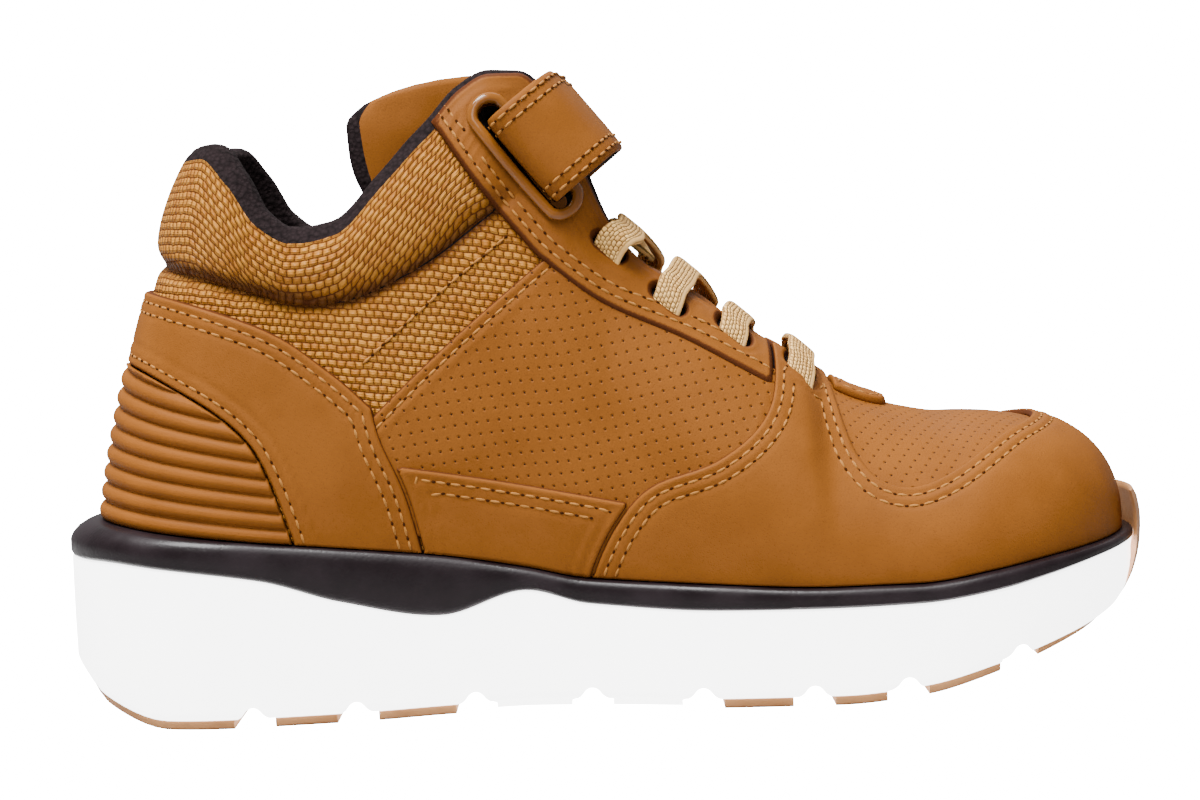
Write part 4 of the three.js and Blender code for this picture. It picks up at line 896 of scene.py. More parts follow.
def woven_material(name, width, height):
    material, tree, shader, uv, spot = start(name, 0.5, Specular_IOR_Level=0.1)
    cloth = placed(tree, weave_group, {"Vector": uv, "Width": width, "Height": height})
    colour = mix(tree, cloth["Tint"], (0.29, 0.104, 0.013, 1), (0.41, 0.17, 0.023, 1))
    # Dark gaps between the threads, with painted shade at the edges of the rounded cells.
    colour = mix(tree, cloth["Shaded gap"], colour, (0.095, 0.026, 0.003, 1))
    # Painted shade: the weave darkens within about 2.6 mm of the collar seam, as the shadow in its stitched
    # groove.
    seam = put(tree, "ShaderNodeAttribute", attribute_name="seam").outputs["Fac"]
    colour = mix(tree, remap(tree, seam, 0.2, 2.6, 0.85, 0.0), colour, (0.05, 0.013, 0.003, 1))
    tree.links.new(colour, shader.inputs["Base Color"])
    tree.links.new(remap(tree, cloth["Shaded gap"], 0.0, 1.0, 0.42, 0.8), shader.inputs["Roughness"])
    bump(tree, shader, cloth["Height"], 0.5)
    return material


woven = woven_material("Woven nylon, collar", 1.75, 1.5)
woven_ankle = woven_material("Woven nylon, ankle", 1.7, 1.45)


def lining_material(name, colour_a, colour_b, size=0.9):
    material, tree, shader, uv, spot = start(name, 0.9, Specular_IOR_Level=0.07)
    cells = put(tree, "ShaderNodeTexVoronoi", {"Vector": spot, "Scale": 1.0 / size}).outputs["Distance"]
    fuzz = put(tree, "ShaderNodeTexNoise", {"Vector": spot, "Scale": 2.5, "Detail": 4.0}).outputs["Fac"]
    share = calc(tree, "ADD", calc(tree, "MULTIPLY", cells, 0.7), calc(tree, "MULTIPLY", fuzz, 0.4))
    tree.links.new(mix(tree, share, colour_b, colour_a), shader.inputs["Base Color"])
    bump(tree, shader, share, 0.3)
    return material


lining = lining_material("Mesh lining", (0.003, 0.002, 0.002, 1), (0.022, 0.014, 0.015, 1))
fuzz = lining_material("Loop pile", (0.003, 0.003, 0.004, 1), (0.014, 0.011, 0.014, 1), 0.4)

thread_material, tree, shader, uv, spot = start("Sewing thread", 0.6, Specular_IOR_Level=0.2)
strand = put(tree, "ShaderNodeTexWave", {"Vector": spot, "Scale": 1.6, "Distortion": 1.0}).outputs["Fac"]
tree.links.new(mix(tree, strand, (0.26, 0.095, 0.015, 1), (0.46, 0.2, 0.042, 1)), shader.inputs["Base Color"])
bump(tree, shader, strand, 0.05)

# Needle holes are dark capsules: painted shade inside the holes, clouded between two dark tones by noise.
needle_shade_material, tree, shader, uv, spot = start("Needle hole shade", 0.9, Specular_IOR_Level=0.0)
hole_shade_noise = put(tree, "ShaderNodeTexNoise", {"Vector": spot, "Scale": 3.0}).outputs["Fac"]
colour = mix(tree, hole_shade_noise, (0.024, 0.008, 0.003, 1), (0.05, 0.016, 0.005, 1))
tree.links.new(colour, shader.inputs["Base Color"])

lace_material, tree, shader, uv, spot = start("Knitted elastic", 0.75, Specular_IOR_Level=0.2)
knit = placed(tree, weave_group, {"Vector": uv, "Width": 1.0, "Height": 0.8})
colour = mix(tree, knit["Tint"], (0.66, 0.35, 0.095, 1), (0.86, 0.52, 0.17, 1))
# Painted shade darkens the gaps between the knit's loops.
colour = mix(tree, calc(tree, "MULTIPLY", knit["Shaded gap"], 0.9), colour, (0.09, 0.025, 0.005, 1))
side = put(tree, "ShaderNodeSeparateXYZ", {"Vector": uv}).outputs["Y"]
side = calc(tree, "FLOORED_MODULO", calc(tree, "ADD", side, 20.0), 40.0)
fold = remap(tree, side, 21.9, 22.3)
tree.links.new(mix(tree, fold, colour, (0.72, 0.42, 0.14, 1)), shader.inputs["Base Color"])
bump(tree, shader, calc(tree, "MULTIPLY", knit["Height"], calc(tree, "SUBTRACT", 1.0, fold)), 0.3)


def skin_material(name, roughness, size, dark, light, relief_mm=0.0, gloss=None, **settings):
    """A plain skin that is clouded between two colours, and between two roughnesses if gloss is given."""
    material, tree, shader, uv, spot = start(name, roughness, **settings)
    skin = placed(tree, grain_group, {"Vector": spot, "Size": size})
    tree.links.new(mix(tree, skin["Cloud"], dark, light), shader.inputs["Base Color"])
    if gloss:
        tree.links.new(remap(tree, skin["Cloud"], 0.0, 1.0, *gloss), shader.inputs["Roughness"])
    if relief_mm:
        bump(tree, shader, skin["Height"], relief_mm)
    return material


# The foam glows: its emission is painted light, which makes it brighter than the lamps alone would.
glowing_foam_material = skin_material(
    "White foam, painted glow", 0.5, 0.5, (0.86, 0.86, 0.845, 1), (0.92, 0.92, 0.91, 1), 0.02,
    Emission_Color=(1, 1, 1, 1), Emission_Strength=5.0,
)
rand_material = skin_material(
    "Dark satin rand", 0.36, 0.8, (0.006, 0.003, 0.004, 1), (0.012, 0.007, 0.009, 1), 0.05, (0.3, 0.45),
    Specular_IOR_Level=0.22,
)
rubber_material = skin_material(
    "Gum rubber", 0.55, 0.6, (0.3, 0.13, 0.045, 1), (0.4, 0.19, 0.075, 1), 0.05, Specular_IOR_Level=0.25,
)
ring_material = skin_material(
    "Glossy grommet", 0.15, 1.5, (0.15, 0.05, 0.007, 1), (0.2, 0.068, 0.009, 1), 0.0, (0.12, 0.2),
    Specular_IOR_Level=0.35,
)
print("materials:", len(bpy.data.materials))

# %% [markdown]
# The upper is one lasted shell: woven cloth round the ankle and perforated leather over the toes, lined
# inside. It is the largest cut of the net, closed with its lining. The collar is its own padded roll above
# the deep stitched groove, and its mesh lining turns over the top.

# %% Cloth directions
def uv_side(data):
    return np.stack([data["side"] * data["girth"], data["arc"]], 1)


def uv_collar(data):
    return np.stack([data["side"] * data["girth"], -data["ridge"]], 1)


def uv_top(data):
    return np.stack([data["over"], data["across"]], 1)


def near(line, data):
    """Distance in the side view from a smooth line."""
    p = data["p"][:, [0, 2]]
    best = np.full(len(p), 1e9)
    for a, b in zip(line[:-1], line[1:]):
        e, w = b - a, p - a
        h = np.clip((w @ e) / max(e @ e, 1e-9), 0, 1)
        best = np.minimum(best, np.hypot(w[:, 0] - h * e[0], w[:, 1] - h * e[1]))
    return best


print("weave runs", round(float(NET["girth"].max() - NET["girth"].min())), "mm along the boot")

# %% Fastening sizes
LACE_WIDTH, LACE_THICKNESS = 6.4, 1.5
LACE_TURN = math.radians(42)
STRAP_WIDTH, STRAP_THICKNESS, STRAP_TURN = 20.4, 2.2, math.radians(52)
STRAP_CREST = np.array([0.497 * LENGTH, 0.0, 0.918 * HEIGHT])
STRAP_DROP, WING_HALF = 14.2, 20.0
STRAP_WIDE = np.array([math.cos(STRAP_TURN), 0, -math.sin(STRAP_TURN)])
STRAP_UP = np.array([math.sin(STRAP_TURN), 0, math.cos(STRAP_TURN)])
GROMMET_LENGTH, GROMMET_WIDTH, GROMMET_BAND, GROMMET_HEIGHT = 29.4, 9.2, 2.2, 1.5
# each lace: slot on the inner side, its height, slot on the outer side, its height, crown, lean, lift
LACES = [
    (0.5155, 0.704, 0.553, 0.632, 0.745, 4.0, 2.4),
    (0.566, 0.616, 0.604, 0.575, 0.672, 2.6, 0.5),
    (0.624, 0.561, 0.64, 0.547, 0.596, 1.0, 0.35),
    (0.684, 0.496, 0.688, 0.492, 0.538, 0.8, 0.85),
]
slot_centre = STRAP_CREST - STRAP_UP * STRAP_DROP
GROMMET_HOLE = GROMMET_LENGTH - 2 * GROMMET_BAND, GROMMET_WIDTH - 2 * GROMMET_BAND
print("grommet's middle:", slot_centre.round(1), "hole:", GROMMET_HOLE)

# %% Upper and collar
collar_field = np.minimum(within(COLLAR_ZONE, NET), -within(EYESTAY_ZONE, NET))
collar_field = np.where(NET["at"] > 1.5, -5.0, collar_field)
grommet_hole = within_oval(slot_centre[[0, 2]], STRAP_TURN, *GROMMET_HOLE, NET)
hole_field = np.where(NET["side"] < 0, -grommet_hole, 99.0)
data, tris = keep(NET, NET_TRIS, np.minimum(-collar_field - 0.15, hole_field))
front = data["p"][:, 0] > 0.6 * LENGTH
hidden = within(EYESTAY_ZONE, data) > 0.6
for side, column in ((-1, 0), (1, 2)):
    slot = within_oval(np.array(LACES[3][column:column + 2]) * [LENGTH, HEIGHT], LACE_TURN, 14.0, 6.5, data)
    hidden |= (slot > 0) & (data["side"] == side)
upper = slab(
    "upper_shell", data, tris, data["relief"], data["wall"], [woven_ankle, lining, lining],
    uv_side(data), rim=6, rim_out=0.5, marks={"seam": np.abs(within(COLLAR_ZONE, data))},
)
upper.data.materials.append(vamp_leather)
skin = upper.data
layer = skin.uv_layers["UVMap"].data
top_uv = uv_top(data)
for face in skin.polygons:
    corner = face.vertices[0]
    if face.material_index == 0 and corner < len(front) and hidden[corner]:
        face.material_index = 2
    elif face.material_index == 0 and corner < len(front) and front[corner]:
        face.material_index = 3
        for loop in face.loop_indices:
            layer[loop].uv = top_uv[skin.loops[loop].vertex_index]
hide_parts("upper")

data, tris = keep(NET, NET_TRIS, collar_field - 0.15)
data.pop("value")
data, tris, _ = cut(data, tris, data["ridge"], 2.3)
data, tris = used(data, tris)
collar = slab(
    "collar_pad", data, tris, data["relief"], data["wall"], [woven, lining, lining],
    uv_collar(data), rim=8, marks={"ridge": data["ridge"], "seam": np.abs(within(COLLAR_ZONE, data))},
)
ridge = collar.data.attributes["ridge"].data
for face in collar.data.polygons:
    from_top = max(ridge[v].value for v in face.vertices)
    if face.material_index == 0 and from_top < 2.31:
        face.material_index = 1
    elif face.material_index == 2 and from_top > 3:
        face.material_index = 0
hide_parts("collar")
print("upper:", len(upper.data.polygons), "collar:", len(collar.data.polygons), "triangles")

# %% [markdown]
# Each panel is a piece of leather 1.3 mm thick, skived and rounded along its edge, and pulled down where the
# thread runs. A groove of the last's own sizes is pressed in at each row of stitching, and the thread itself
# is small separate stitches that lie in it, with a dark capsule of painted shade in each needle hole.

# %% Stitches
STITCH_PITCH, STITCH_LENGTH, THREAD, STITCH_START = 2.9, 2.1, 0.3, 0.4
# Size of the dark capsule of painted shade in each needle hole.
NEEDLE_HOLE = (0.42, 0.3, 0.1)  # half-length, half-width and half-height


def at_run(line, run, at):
    """The point at a distance along a line."""
    return np.array([np.interp(at, run, line[:, i]) for i in range(3)])


def stitch_rows(name, rows):
    """One capsule of thread for each stitch along rows of (points, normals), and a dark capsule of painted
    shade in each needle hole.
    """
    bpy.ops.mesh.primitive_uv_sphere_add(segments=6, ring_count=4, radius=1.0)
    seed = bpy.context.object
    seed_points = np.array([v.co[:] for v in seed.data.vertices])
    seed_faces = [list(face.vertices) for face in seed.data.polygons]
    bpy.data.objects.remove(seed)
    wide, high, long = seed_points[:, 0:1], seed_points[:, 1:2], seed_points[:, 2:3]
    points, faces, which = [], [], []
    for line, normals in rows:
        run = np.concatenate([[0], np.cumsum(np.linalg.norm(np.diff(line, axis=0), axis=1))])
        for start_at in np.arange(STITCH_START, run[-1] - STITCH_LENGTH, STITCH_PITCH):
            ends = [at_run(line, run, start_at + d) for d in (0.0, STITCH_LENGTH)]
            normal = at_run(normals, run, start_at + STITCH_LENGTH / 2)
            way = ends[1] - ends[0]
            way /= np.linalg.norm(way)
            aside = np.cross(normal, way)
            aside /= np.linalg.norm(aside)
            up = np.cross(way, aside)
            centre = (ends[0] + ends[1]) / 2
            thread = centre + long * way * STITCH_LENGTH / 2 + wide * aside * THREAD
            thread = thread + (high * THREAD * 0.8 - 0.25 * long**2 * THREAD) * up
            # A dark capsule just past each stitch, painted shade in the needle hole.
            hole = ends[1] + way * (STITCH_PITCH - STITCH_LENGTH) / 2
            along, across, deep = NEEDLE_HOLE
            hole = hole + long * way * along + wide * aside * across + high * up * deep
            for kind, shaped in enumerate((thread, hole)):
                first = len(points) * len(seed_points)
                faces += [[corner + first for corner in face] for face in seed_faces]
                points.append(shaped)
                which += [kind] * len(seed_faces)
    made = piece(name, np.concatenate(points), faces, [thread_material, needle_shade_material], which, uv=None)
    print(name, len(points) // 2, "stitches")
    return made


def row_at(data, tris, top, level, *lines, reach_mm=0.9, least=3.0):
    """Stretches of the line edge == level that follow the given outlines, lifted to the panel's face."""
    rows = []
    for line in level_lines({**data, "top": top}, tris, data["edge"], level):
        p = line["p"] + line["way"] * line["top"][:, None]
        good = np.full(len(p), not lines)
        for one in lines:
            good |= near(one, line) < level + reach_mm
        start_at = None
        for i in range(len(p) + 1):
            if i < len(p) and good[i]:
                start_at = i if start_at is None else start_at
            elif start_at is not None:
                if np.linalg.norm(np.diff(p[start_at:i], axis=0), axis=1).sum() > least:
                    rows.append((p[start_at:i], line["way"][start_at:i]))
                start_at = None
    return rows


# %% [markdown]
# Now the panels themselves, from the heel to the toe, and the same on both sides. Each one is a zone of the
# net less the zones of the panels that lie over it. Its rows of stitching are lines at a constant distance
# from its cut edge.

# %% Panels
ROWS_IN = (2.0, 4.1)
EDGE_CUTS = (0.15, 0.4, 0.75, 1.4)
PRESSED, PRESSED_WIDTH, PUFF = 0.2, 0.55, 0.12


def panel(
    name, node, field, uv, thickness=OVERLAY, grooves=ROWS_IN, edge=0.75, base=GAP, materials=None, raw=0.6,
):
    """A sewn-on panel with a rounded edge, pressed down along its rows of stitching."""
    data, tris = keep(NET, NET_TRIS, field)
    edges = border(tris)
    line = data["arc"][edges].max(1) > 0.4
    data["edge"] = away(data, along_edges(data["p"], edges[line]))
    data.pop("value")
    for level in EDGE_CUTS:
        data, tris, value = cut(data, tris, data["edge"], level)
        data["edge"] = value
    data, tris = used(data, tris)
    d = data["edge"]
    high = thickness * np.sqrt(np.clip(1 - (1 - np.clip(d / edge, 0, 1)) ** 2, 0, 1))
    for row in grooves:
        high = high - PRESSED * np.exp(-(((d - row) / PRESSED_WIDTH) ** 2))
    puff = PUFF * np.clip(np.sin(np.clip((d - 2.0) / 2.1, 0, 1) * math.pi), 0, 1)
    top = data["relief"] + base + np.maximum(high + puff, 0.2)
    surfaces = materials or [leather, leather, leather]
    made = slab(name, data, tris, top, 0.05 - data["relief"], surfaces, uv(data), marks={"edge": d / raw})
    if node:
        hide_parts(node)
    print(name, len(made.data.polygons), "triangles")
    return data, tris, top


def holes(data, side):
    """How far a point lies outside every slot and the strap's hole on one side of the boot."""
    clear = np.full(len(data["p"]), 99.0)
    for row in LACES:
        x, z = (row[0], row[1]) if side < 0 else (row[2], row[3])
        spot = np.array([x * LENGTH, z * HEIGHT])
        oval = within_oval(spot, LACE_TURN, LACE_WIDTH + 1.5, LACE_THICKNESS + 0.7, data)
        clear = np.minimum(clear, -oval)
    if side < 0:
        clear = np.minimum(clear, -within_oval(slot_centre[[0, 2]], STRAP_TURN, *GROMMET_HOLE, data))
    return clear


either = np.where(NET["side"] < 0, holes(NET, -1), holes(NET, 1))
counter_field = np.minimum(within(COUNTER_ZONE, NET), -within(WINDOW_ZONE, NET))
guard_field = np.minimum(within(GUARD_ZONE, NET), either)
eyestay_field = np.minimum(within(EYESTAY_ZONE, NET), -within(GUARD_ZONE, NET) - GAP)
mid_field = np.minimum(within(MID_ZONE, NET), -within(COUNTER_ZONE, NET) - GAP)
mid_field = np.minimum(mid_field, -within(GUARD_ZONE, NET) - GAP)
QUARTER_TOP = outline([
    (0.282, 0.44), (0.296, 0.465), (0.326, 0.512), (0.372, 0.58), (0.418, 0.643), (0.47, 0.712),
])
quarter_rest = outline([(0.56, 0.62), (0.67, 0.49)], [(0.62, 0.3), (0.5, 0.2), (0.3, 0.3)])
QUARTER_ZONE = np.concatenate([QUARTER_TOP, quarter_rest])
ANKLE_ROW = outline([(0.29, 0.547), (0.356, 0.642), (0.428, 0.737)])
counter_edge = outline(COUNTER_TOP, COUNTER_FRONT)
window_edge = outline(RIB_WINDOW)
eyestay_edge = outline(EYESTAY_REAR, EYESTAY_LOW)
guard_rear, vamp_edge = outline(GUARD_REAR), outline(VAMP_SEAM)
mid_edge = outline(MID_PANEL_TOP)
EYESTAY_ROWS = (2.2, 4.0)
stitches = []

data, tris, top = panel("heel_counter_panel", "heel_counter", counter_field, uv_side)
stitches += row_at(data, tris, top, ROWS_IN[0], counter_edge, window_edge)
stitches += row_at(data, tris, top, ROWS_IN[1], counter_edge)
data, tris, top = panel("toe_guard_panel", "toe_guard", guard_field, uv_top)
for level in ROWS_IN:
    stitches += row_at(data, tris, top, level, guard_rear, vamp_edge)
for side, word in ((-1, "inner"), (1, "outer")):
    here = NET["side"] == side
    field = np.where(here, np.minimum(eyestay_field, either), -1)
    node = "eyestay_" + word
    data, tris, top = panel(
        node + "_panel", node, field, uv_side, grooves=EYESTAY_ROWS, edge=1.3, raw=2.2,
    )
    data["edge"] = near(eyestay_edge, data)
    beside = within_oval(slot_centre[[0, 2]], STRAP_TURN, GROMMET_LENGTH + 0.9, GROMMET_WIDTH + 0.9, data)
    data["edge"] = np.where((beside > 0) & (side < 0), 0.0, data["edge"])
    for level in EYESTAY_ROWS:
        stitches += row_at(data, tris, top, level, eyestay_edge, least=9.0)
    field = np.where(here, mid_field, -1)
    data, tris, top = panel("mid_" + word + "_panel", "mid_panel_" + word, field, uv_side)
    for level in ROWS_IN:
        stitches += row_at(data, tris, top, level, mid_edge)
    field = np.minimum(np.where(here, within(QUARTER_ZONE, NET), -1), -eyestay_field + 3)
    data, tris, top = panel(
        "quarter_" + word + "_panel", None, field, uv_side, 0.75, (2.0,), 0.7, 0.0,
        [quarter_leather, leather, quarter_leather],
    )
    stitches += row_at(data, tris, top, ROWS_IN[0], QUARTER_TOP)


def row_on(line, side, lift=0.15):
    """A row of stitching laid on the shell along a line of the side view."""
    here = (NET["side"] == side) & (NET["arc"] > 0.4)
    place, out, high = NET["p"][here], NET["way"][here], NET["relief"][here]
    run = np.concatenate([[0], np.cumsum(np.linalg.norm(np.diff(line, axis=0), axis=1))])
    points, normals = [], []
    for at in np.linspace(0, run[-1], 60):
        x, z = [np.interp(at, run, line[:, i]) for i in (0, 1)]
        gap = np.hypot(place[:, 0] - x, place[:, 2] - z)
        close = np.argsort(gap)[:4]
        share = 1 / (gap[close] + 0.05)
        share = (share / share.sum())[:, None]
        normal = (out[close] * share).sum(0)
        points.append((place[close] * share).sum(0) + normal * ((high[close] * share[:, 0]).sum() + lift))
        normals.append(normal / np.linalg.norm(normal))
    return np.array(points), np.array(normals)


stitches += [row_on(ANKLE_ROW, side) for side in (-1, 1)]
stitch_rows("panel_stitching", stitches)

# %% [markdown]
# The heel piece is moulded: nine rounded ribs that follow the rand and close up a little towards the front.
# Its rows are laid at the ribs' own pitch, with eight to a rib, so each rib gets a true round crest.

# %% Heel ribs
RIB_PITCH, RIB_HEIGHT, RIB_BASE, RIB_CLOSING, RIB_SHARE = 3.8, 1.1, 0.7, 0.2, 0.86
RIB_CUTS = (0.0, 0.05, 0.16, 0.3, 0.45, 0.6, 0.74, 0.83, 0.9)


def rib_turn(data):
    """How many ribs up from the rand a point lies."""
    pitch = RIB_PITCH * (1 - RIB_CLOSING * np.clip(data["at"], 0, 1))
    return (data["p"][:, 2] - data["foot"]) / pitch


def rib_height(data):
    turn = rib_turn(data)
    share = turn - np.floor(turn)
    crest = np.clip(np.sin(np.clip(share / RIB_SHARE, 0, 1) * math.pi), 0, 1) ** 0.55
    return RIB_BASE + RIB_HEIGHT * crest


foot_spot, _ = cubic(sections(NET["at"], np.sign(NET["side"]).astype(int)), np.zeros(len(NET["p"])))
NET["foot"] = foot_spot[:, 1]
rib_field = within(WINDOW_ZONE, NET) - 0.35
data, tris = keep(NET, NET_TRIS, rib_field)
data.pop("value")
for rib in range(11):
    for share in RIB_CUTS:
        data["turn"] = rib_turn(data)
        data, tris, _ = cut(data, tris, data["turn"], rib + share)
data, tris = used(data, tris)
inside = np.full(len(data["p"]), 0.05)
ribs = slab("heel_rib_piece", data, tris, rib_height(data) + GAP, inside, [leather_bare], uv_side(data))
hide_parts("heel_ribs")
print("heel ribs:", len(ribs.data.polygons), "triangles")


# %% [markdown]
# Straps and laces are bands: a section with rounded edges carried along a path, with its width held in one
# direction. The elastic runs into its slots, across the tongue and into the slots of the other side.

# %% Bands along a path
OTHER_FACE = 40  # how far the UV map of a band's lower face lies beside that of its upper face


def path_through(points, steps):
    """Even steps on a smooth path, with the spacing that a hanging band takes."""
    p = np.asarray(points, float)
    p = np.concatenate([[2 * p[0] - p[1]], p, [2 * p[-1] - p[-2]]])
    rows = []
    for i in range(len(p) - 3):
        a, b, c, d = p[i:i + 4]
        t1 = np.linalg.norm(b - a) ** 0.5
        t2 = t1 + np.linalg.norm(c - b) ** 0.5
        t3 = t2 + np.linalg.norm(d - c) ** 0.5
        t = np.linspace(t1, t2, 24, endpoint=False)[:, None]
        a1 = (t1 - t) / t1 * a + t / t1 * b
        a2 = (t2 - t) / (t2 - t1) * b + (t - t1) / (t2 - t1) * c
        a3 = (t3 - t) / (t3 - t2) * c + (t - t2) / (t3 - t2) * d
        b1 = (t2 - t) / t2 * a1 + t / t2 * a2
        b2 = (t3 - t) / (t3 - t1) * a2 + (t - t1) / (t3 - t1) * a3
        rows.append((t2 - t) / (t2 - t1) * b1 + (t - t1) / (t2 - t1) * b2)
    line = np.concatenate(rows + [p[-2:-1]])
    run = np.concatenate([[0], np.cumsum(np.linalg.norm(np.diff(line, axis=0), axis=1))])
    even = np.linspace(0, run[-1], steps + 1)
    return np.stack([np.interp(even, run, line[:, i]) for i in range(3)], 1), even


def band(name, path, run, wide, width, thickness, materials, pick=None, around=20):
    """A band of rounded section. pick says which material a face takes from its station and its turn."""
    way = np.gradient(path, axis=0)
    way /= np.linalg.norm(way, axis=1, keepdims=True)
    aside = np.tile(wide, (len(path), 1))
    normal = np.cross(way, aside)
    normal /= np.linalg.norm(normal, axis=1, keepdims=True)
    turn = 2 * math.pi * np.arange(around) / around
    across = np.sign(np.cos(turn)) * np.abs(np.cos(turn)) ** 0.4
    high = np.sign(np.sin(turn)) * np.abs(np.sin(turn)) ** 0.55
    ring = across[None, :, None] * aside[:, None] * width / 2
    lift = high[None, :] * thickness / 2
    points = path[:, None] + ring + lift[..., None] * normal[:, None]
    face_uv = across[None, :] * width / 2 + OTHER_FACE * (high[None, :] < 0)
    uv = np.stack(np.broadcast_arrays(run[:, None], face_uv), -1)
    count, faces, which = len(path), [], []
    for k in range(count - 1):
        for i in range(around):
            j = (i + 1) % around
            faces.append([k * around + i, k * around + j, (k + 1) * around + j, (k + 1) * around + i])
            which.append(pick(k / (count - 1), math.sin(turn[i] + math.pi / around)) if pick else 0)
    faces += [list(range(around))[::-1], [(count - 1) * around + i for i in range(around)]]
    which += [0, 0]
    made = piece(name, points.reshape(-1, 3), faces, materials, which, uv.reshape(-1, 2))
    bpy.context.view_layer.objects.active = made
    made.select_set(True)
    bpy.ops.object.mode_set(mode="EDIT")
    bpy.ops.mesh.select_all(action="SELECT")
    bpy.ops.mesh.normals_make_consistent(inside=False)
    bpy.ops.object.mode_set(mode="OBJECT")
    made.select_set(False)
    return made, normal


print("section of a strap:", STRAP_WIDTH, "x", STRAP_THICKNESS, "mm")

# %% Strap
STRAP_ROWS, STRAP_SEWN_FROM = (-8.9, -6.9, 6.9, 8.9), 50
# way down from the crest; place across in shares of the wing's half-width, or layers on the outer side
STRAP = [
    (1.75, None, 1.0), (1.0, None, 1.0), (0.45, None, 1.1), (0.1, 1.12, 0), (0.04, 0.8, 0), (0.2, 0.3, 0),
    (0.3, -0.2, 0), (0.44, -0.44, 0), (0.8, -0.6, 0), (1.0, -0.84, 0), (1.02, -1.22, 0), (0.97, -1.42, 0),
    (0.78, -1.46, 0), (0.45, -1.37, 0), (0.18, -1.2, 0), (0.01, -0.9, 0), (-0.03, -0.4, 0), (-0.06, 0.2, 0),
    (-0.13, 0.8, 0), (-0.08, 1.2, 0), (0.3, None, 2.3), (1.0, None, 2.0), (1.9, None, 2.0), (2.55, None, 1.6),
]


def wing_outside(down):
    rows = []
    for share in (-1, -0.5, 0, 0.5, 1):
        spot = STRAP_CREST - STRAP_UP * down * STRAP_DROP + STRAP_WIDE * share * STRAP_WIDTH / 2
        at = 1 + (spot[0] - HEEL_AXIS) / (TOE_AXIS - HEEL_AXIS)
        z = min(spot[2], float(edge_top(np.array(at))) * HEIGHT)
        rows.append(abs(on_side(spot[0], z, 1, GAP + OVERLAY)[0, 1]))
    return max(rows)


strap_points = []
for down, across, layers in STRAP:
    spot = STRAP_CREST - STRAP_UP * down * STRAP_DROP
    if across is None:
        spot[1] = wing_outside(down) + GAP + (layers - 0.5) * (STRAP_THICKNESS + GAP)
    else:
        spot[1] = across * WING_HALF
    strap_points.append(spot)
strap_path, strap_run = path_through(strap_points, 150)
strap, strap_normal = band(
    "strap_band", strap_path, strap_run, STRAP_WIDE, STRAP_WIDTH, STRAP_THICKNESS, [leather_bare, fuzz],
    lambda share, up: int(up > 0), around=36,
)
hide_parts("strap")
rows = []
for offset in STRAP_ROWS:
    line = strap_path + STRAP_WIDE * offset - strap_normal * (STRAP_THICKNESS / 2 + 0.05)
    rows.append((line[STRAP_SEWN_FROM:], -strap_normal[STRAP_SEWN_FROM:]))
stitch_rows("strap_stitching", rows)
print("strap:", round(strap_run[-1]), "mm long")

# %% Laces
lace_wide = np.array([math.cos(LACE_TURN), 0, -math.sin(LACE_TURN)])
lace_kind = (lace_wide, LACE_WIDTH, LACE_THICKNESS, [lace_material])
# along, across and up: the loop that shows under the first lace
UNDER_LACE = [(0.545, -0.27, 0.705), (0.533, 0, 0.739), (0.52, 0.27, 0.73)]
ring_foot = GAP + OVERLAY + GAP
for number, (start_x, start_z, end_x, end_z, crown, lean, lift) in enumerate(LACES):
    ends = []
    for side, x, z in ((-1, start_x * LENGTH, start_z * HEIGHT), (1, end_x * LENGTH, end_z * HEIGHT)):
        forward = lean if side < 0 else lean * 0.3
        clear = ring_foot + LACE_THICKNESS / 2 + lift
        rim = float(edge_top(np.array(1 + (x + forward - HEEL_AXIS) / (TOE_AXIS - HEEL_AXIS)))) * HEIGHT
        ends.append([
            on_side(x - 0.9, z - 1.6, side, 0.3)[0],
            on_side(x + 0.2, z - 0.3, side, GAP + OVERLAY + 0.6)[0],
            on_side(x + forward * 0.45, min(z + 1.2, (z + rim) / 2), side, clear)[0],
            on_side(x + forward, rim - 0.3, side, clear + 0.25)[0],
        ])
    middle = np.array([(start_x + end_x) / 2 * LENGTH + 1, 0, crown * HEIGHT - LACE_THICKNESS / 2])
    path, run = path_through([*ends[0], middle, *ends[1][::-1]], 64)
    lace, _ = band("lace_bar_%d" % (number + 1), path, run, *lace_kind, around=24)
    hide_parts("lace_%d" % (number + 1))
loop = [(x * LENGTH, y * BALL_HALF, z * HEIGHT - LACE_THICKNESS / 2) for x, y, z in UNDER_LACE]
path, run = path_through(loop, 30)
under_lace, _ = band("under_lace", path, run, *lace_kind, around=24)
print("laces:", len(LACES), "and one loop under the first,", round(run[-1]), "mm long")


# %% Grommet
def oval_sweep(centre, turn, length, width, side, steps, section):
    along = np.array([math.cos(turn), -math.sin(turn)])
    across = np.array([math.sin(turn), math.cos(turn)])
    rings = []
    for i in range(steps):
        angle = -side * 2 * math.pi * (i + 0.5) / steps
        c, s = math.cos(angle), math.sin(angle)
        straight = math.copysign((length - width) / 2, c) * min(1, abs(c) * 3)
        row = []
        for grow, push in section:
            spot = centre + along * (straight + c * (width / 2 + grow)) + across * s * (width / 2 + grow)
            row.append(on_side(spot[0], spot[1], side, push)[0])
        rings.append(row)
    return np.array(rings)


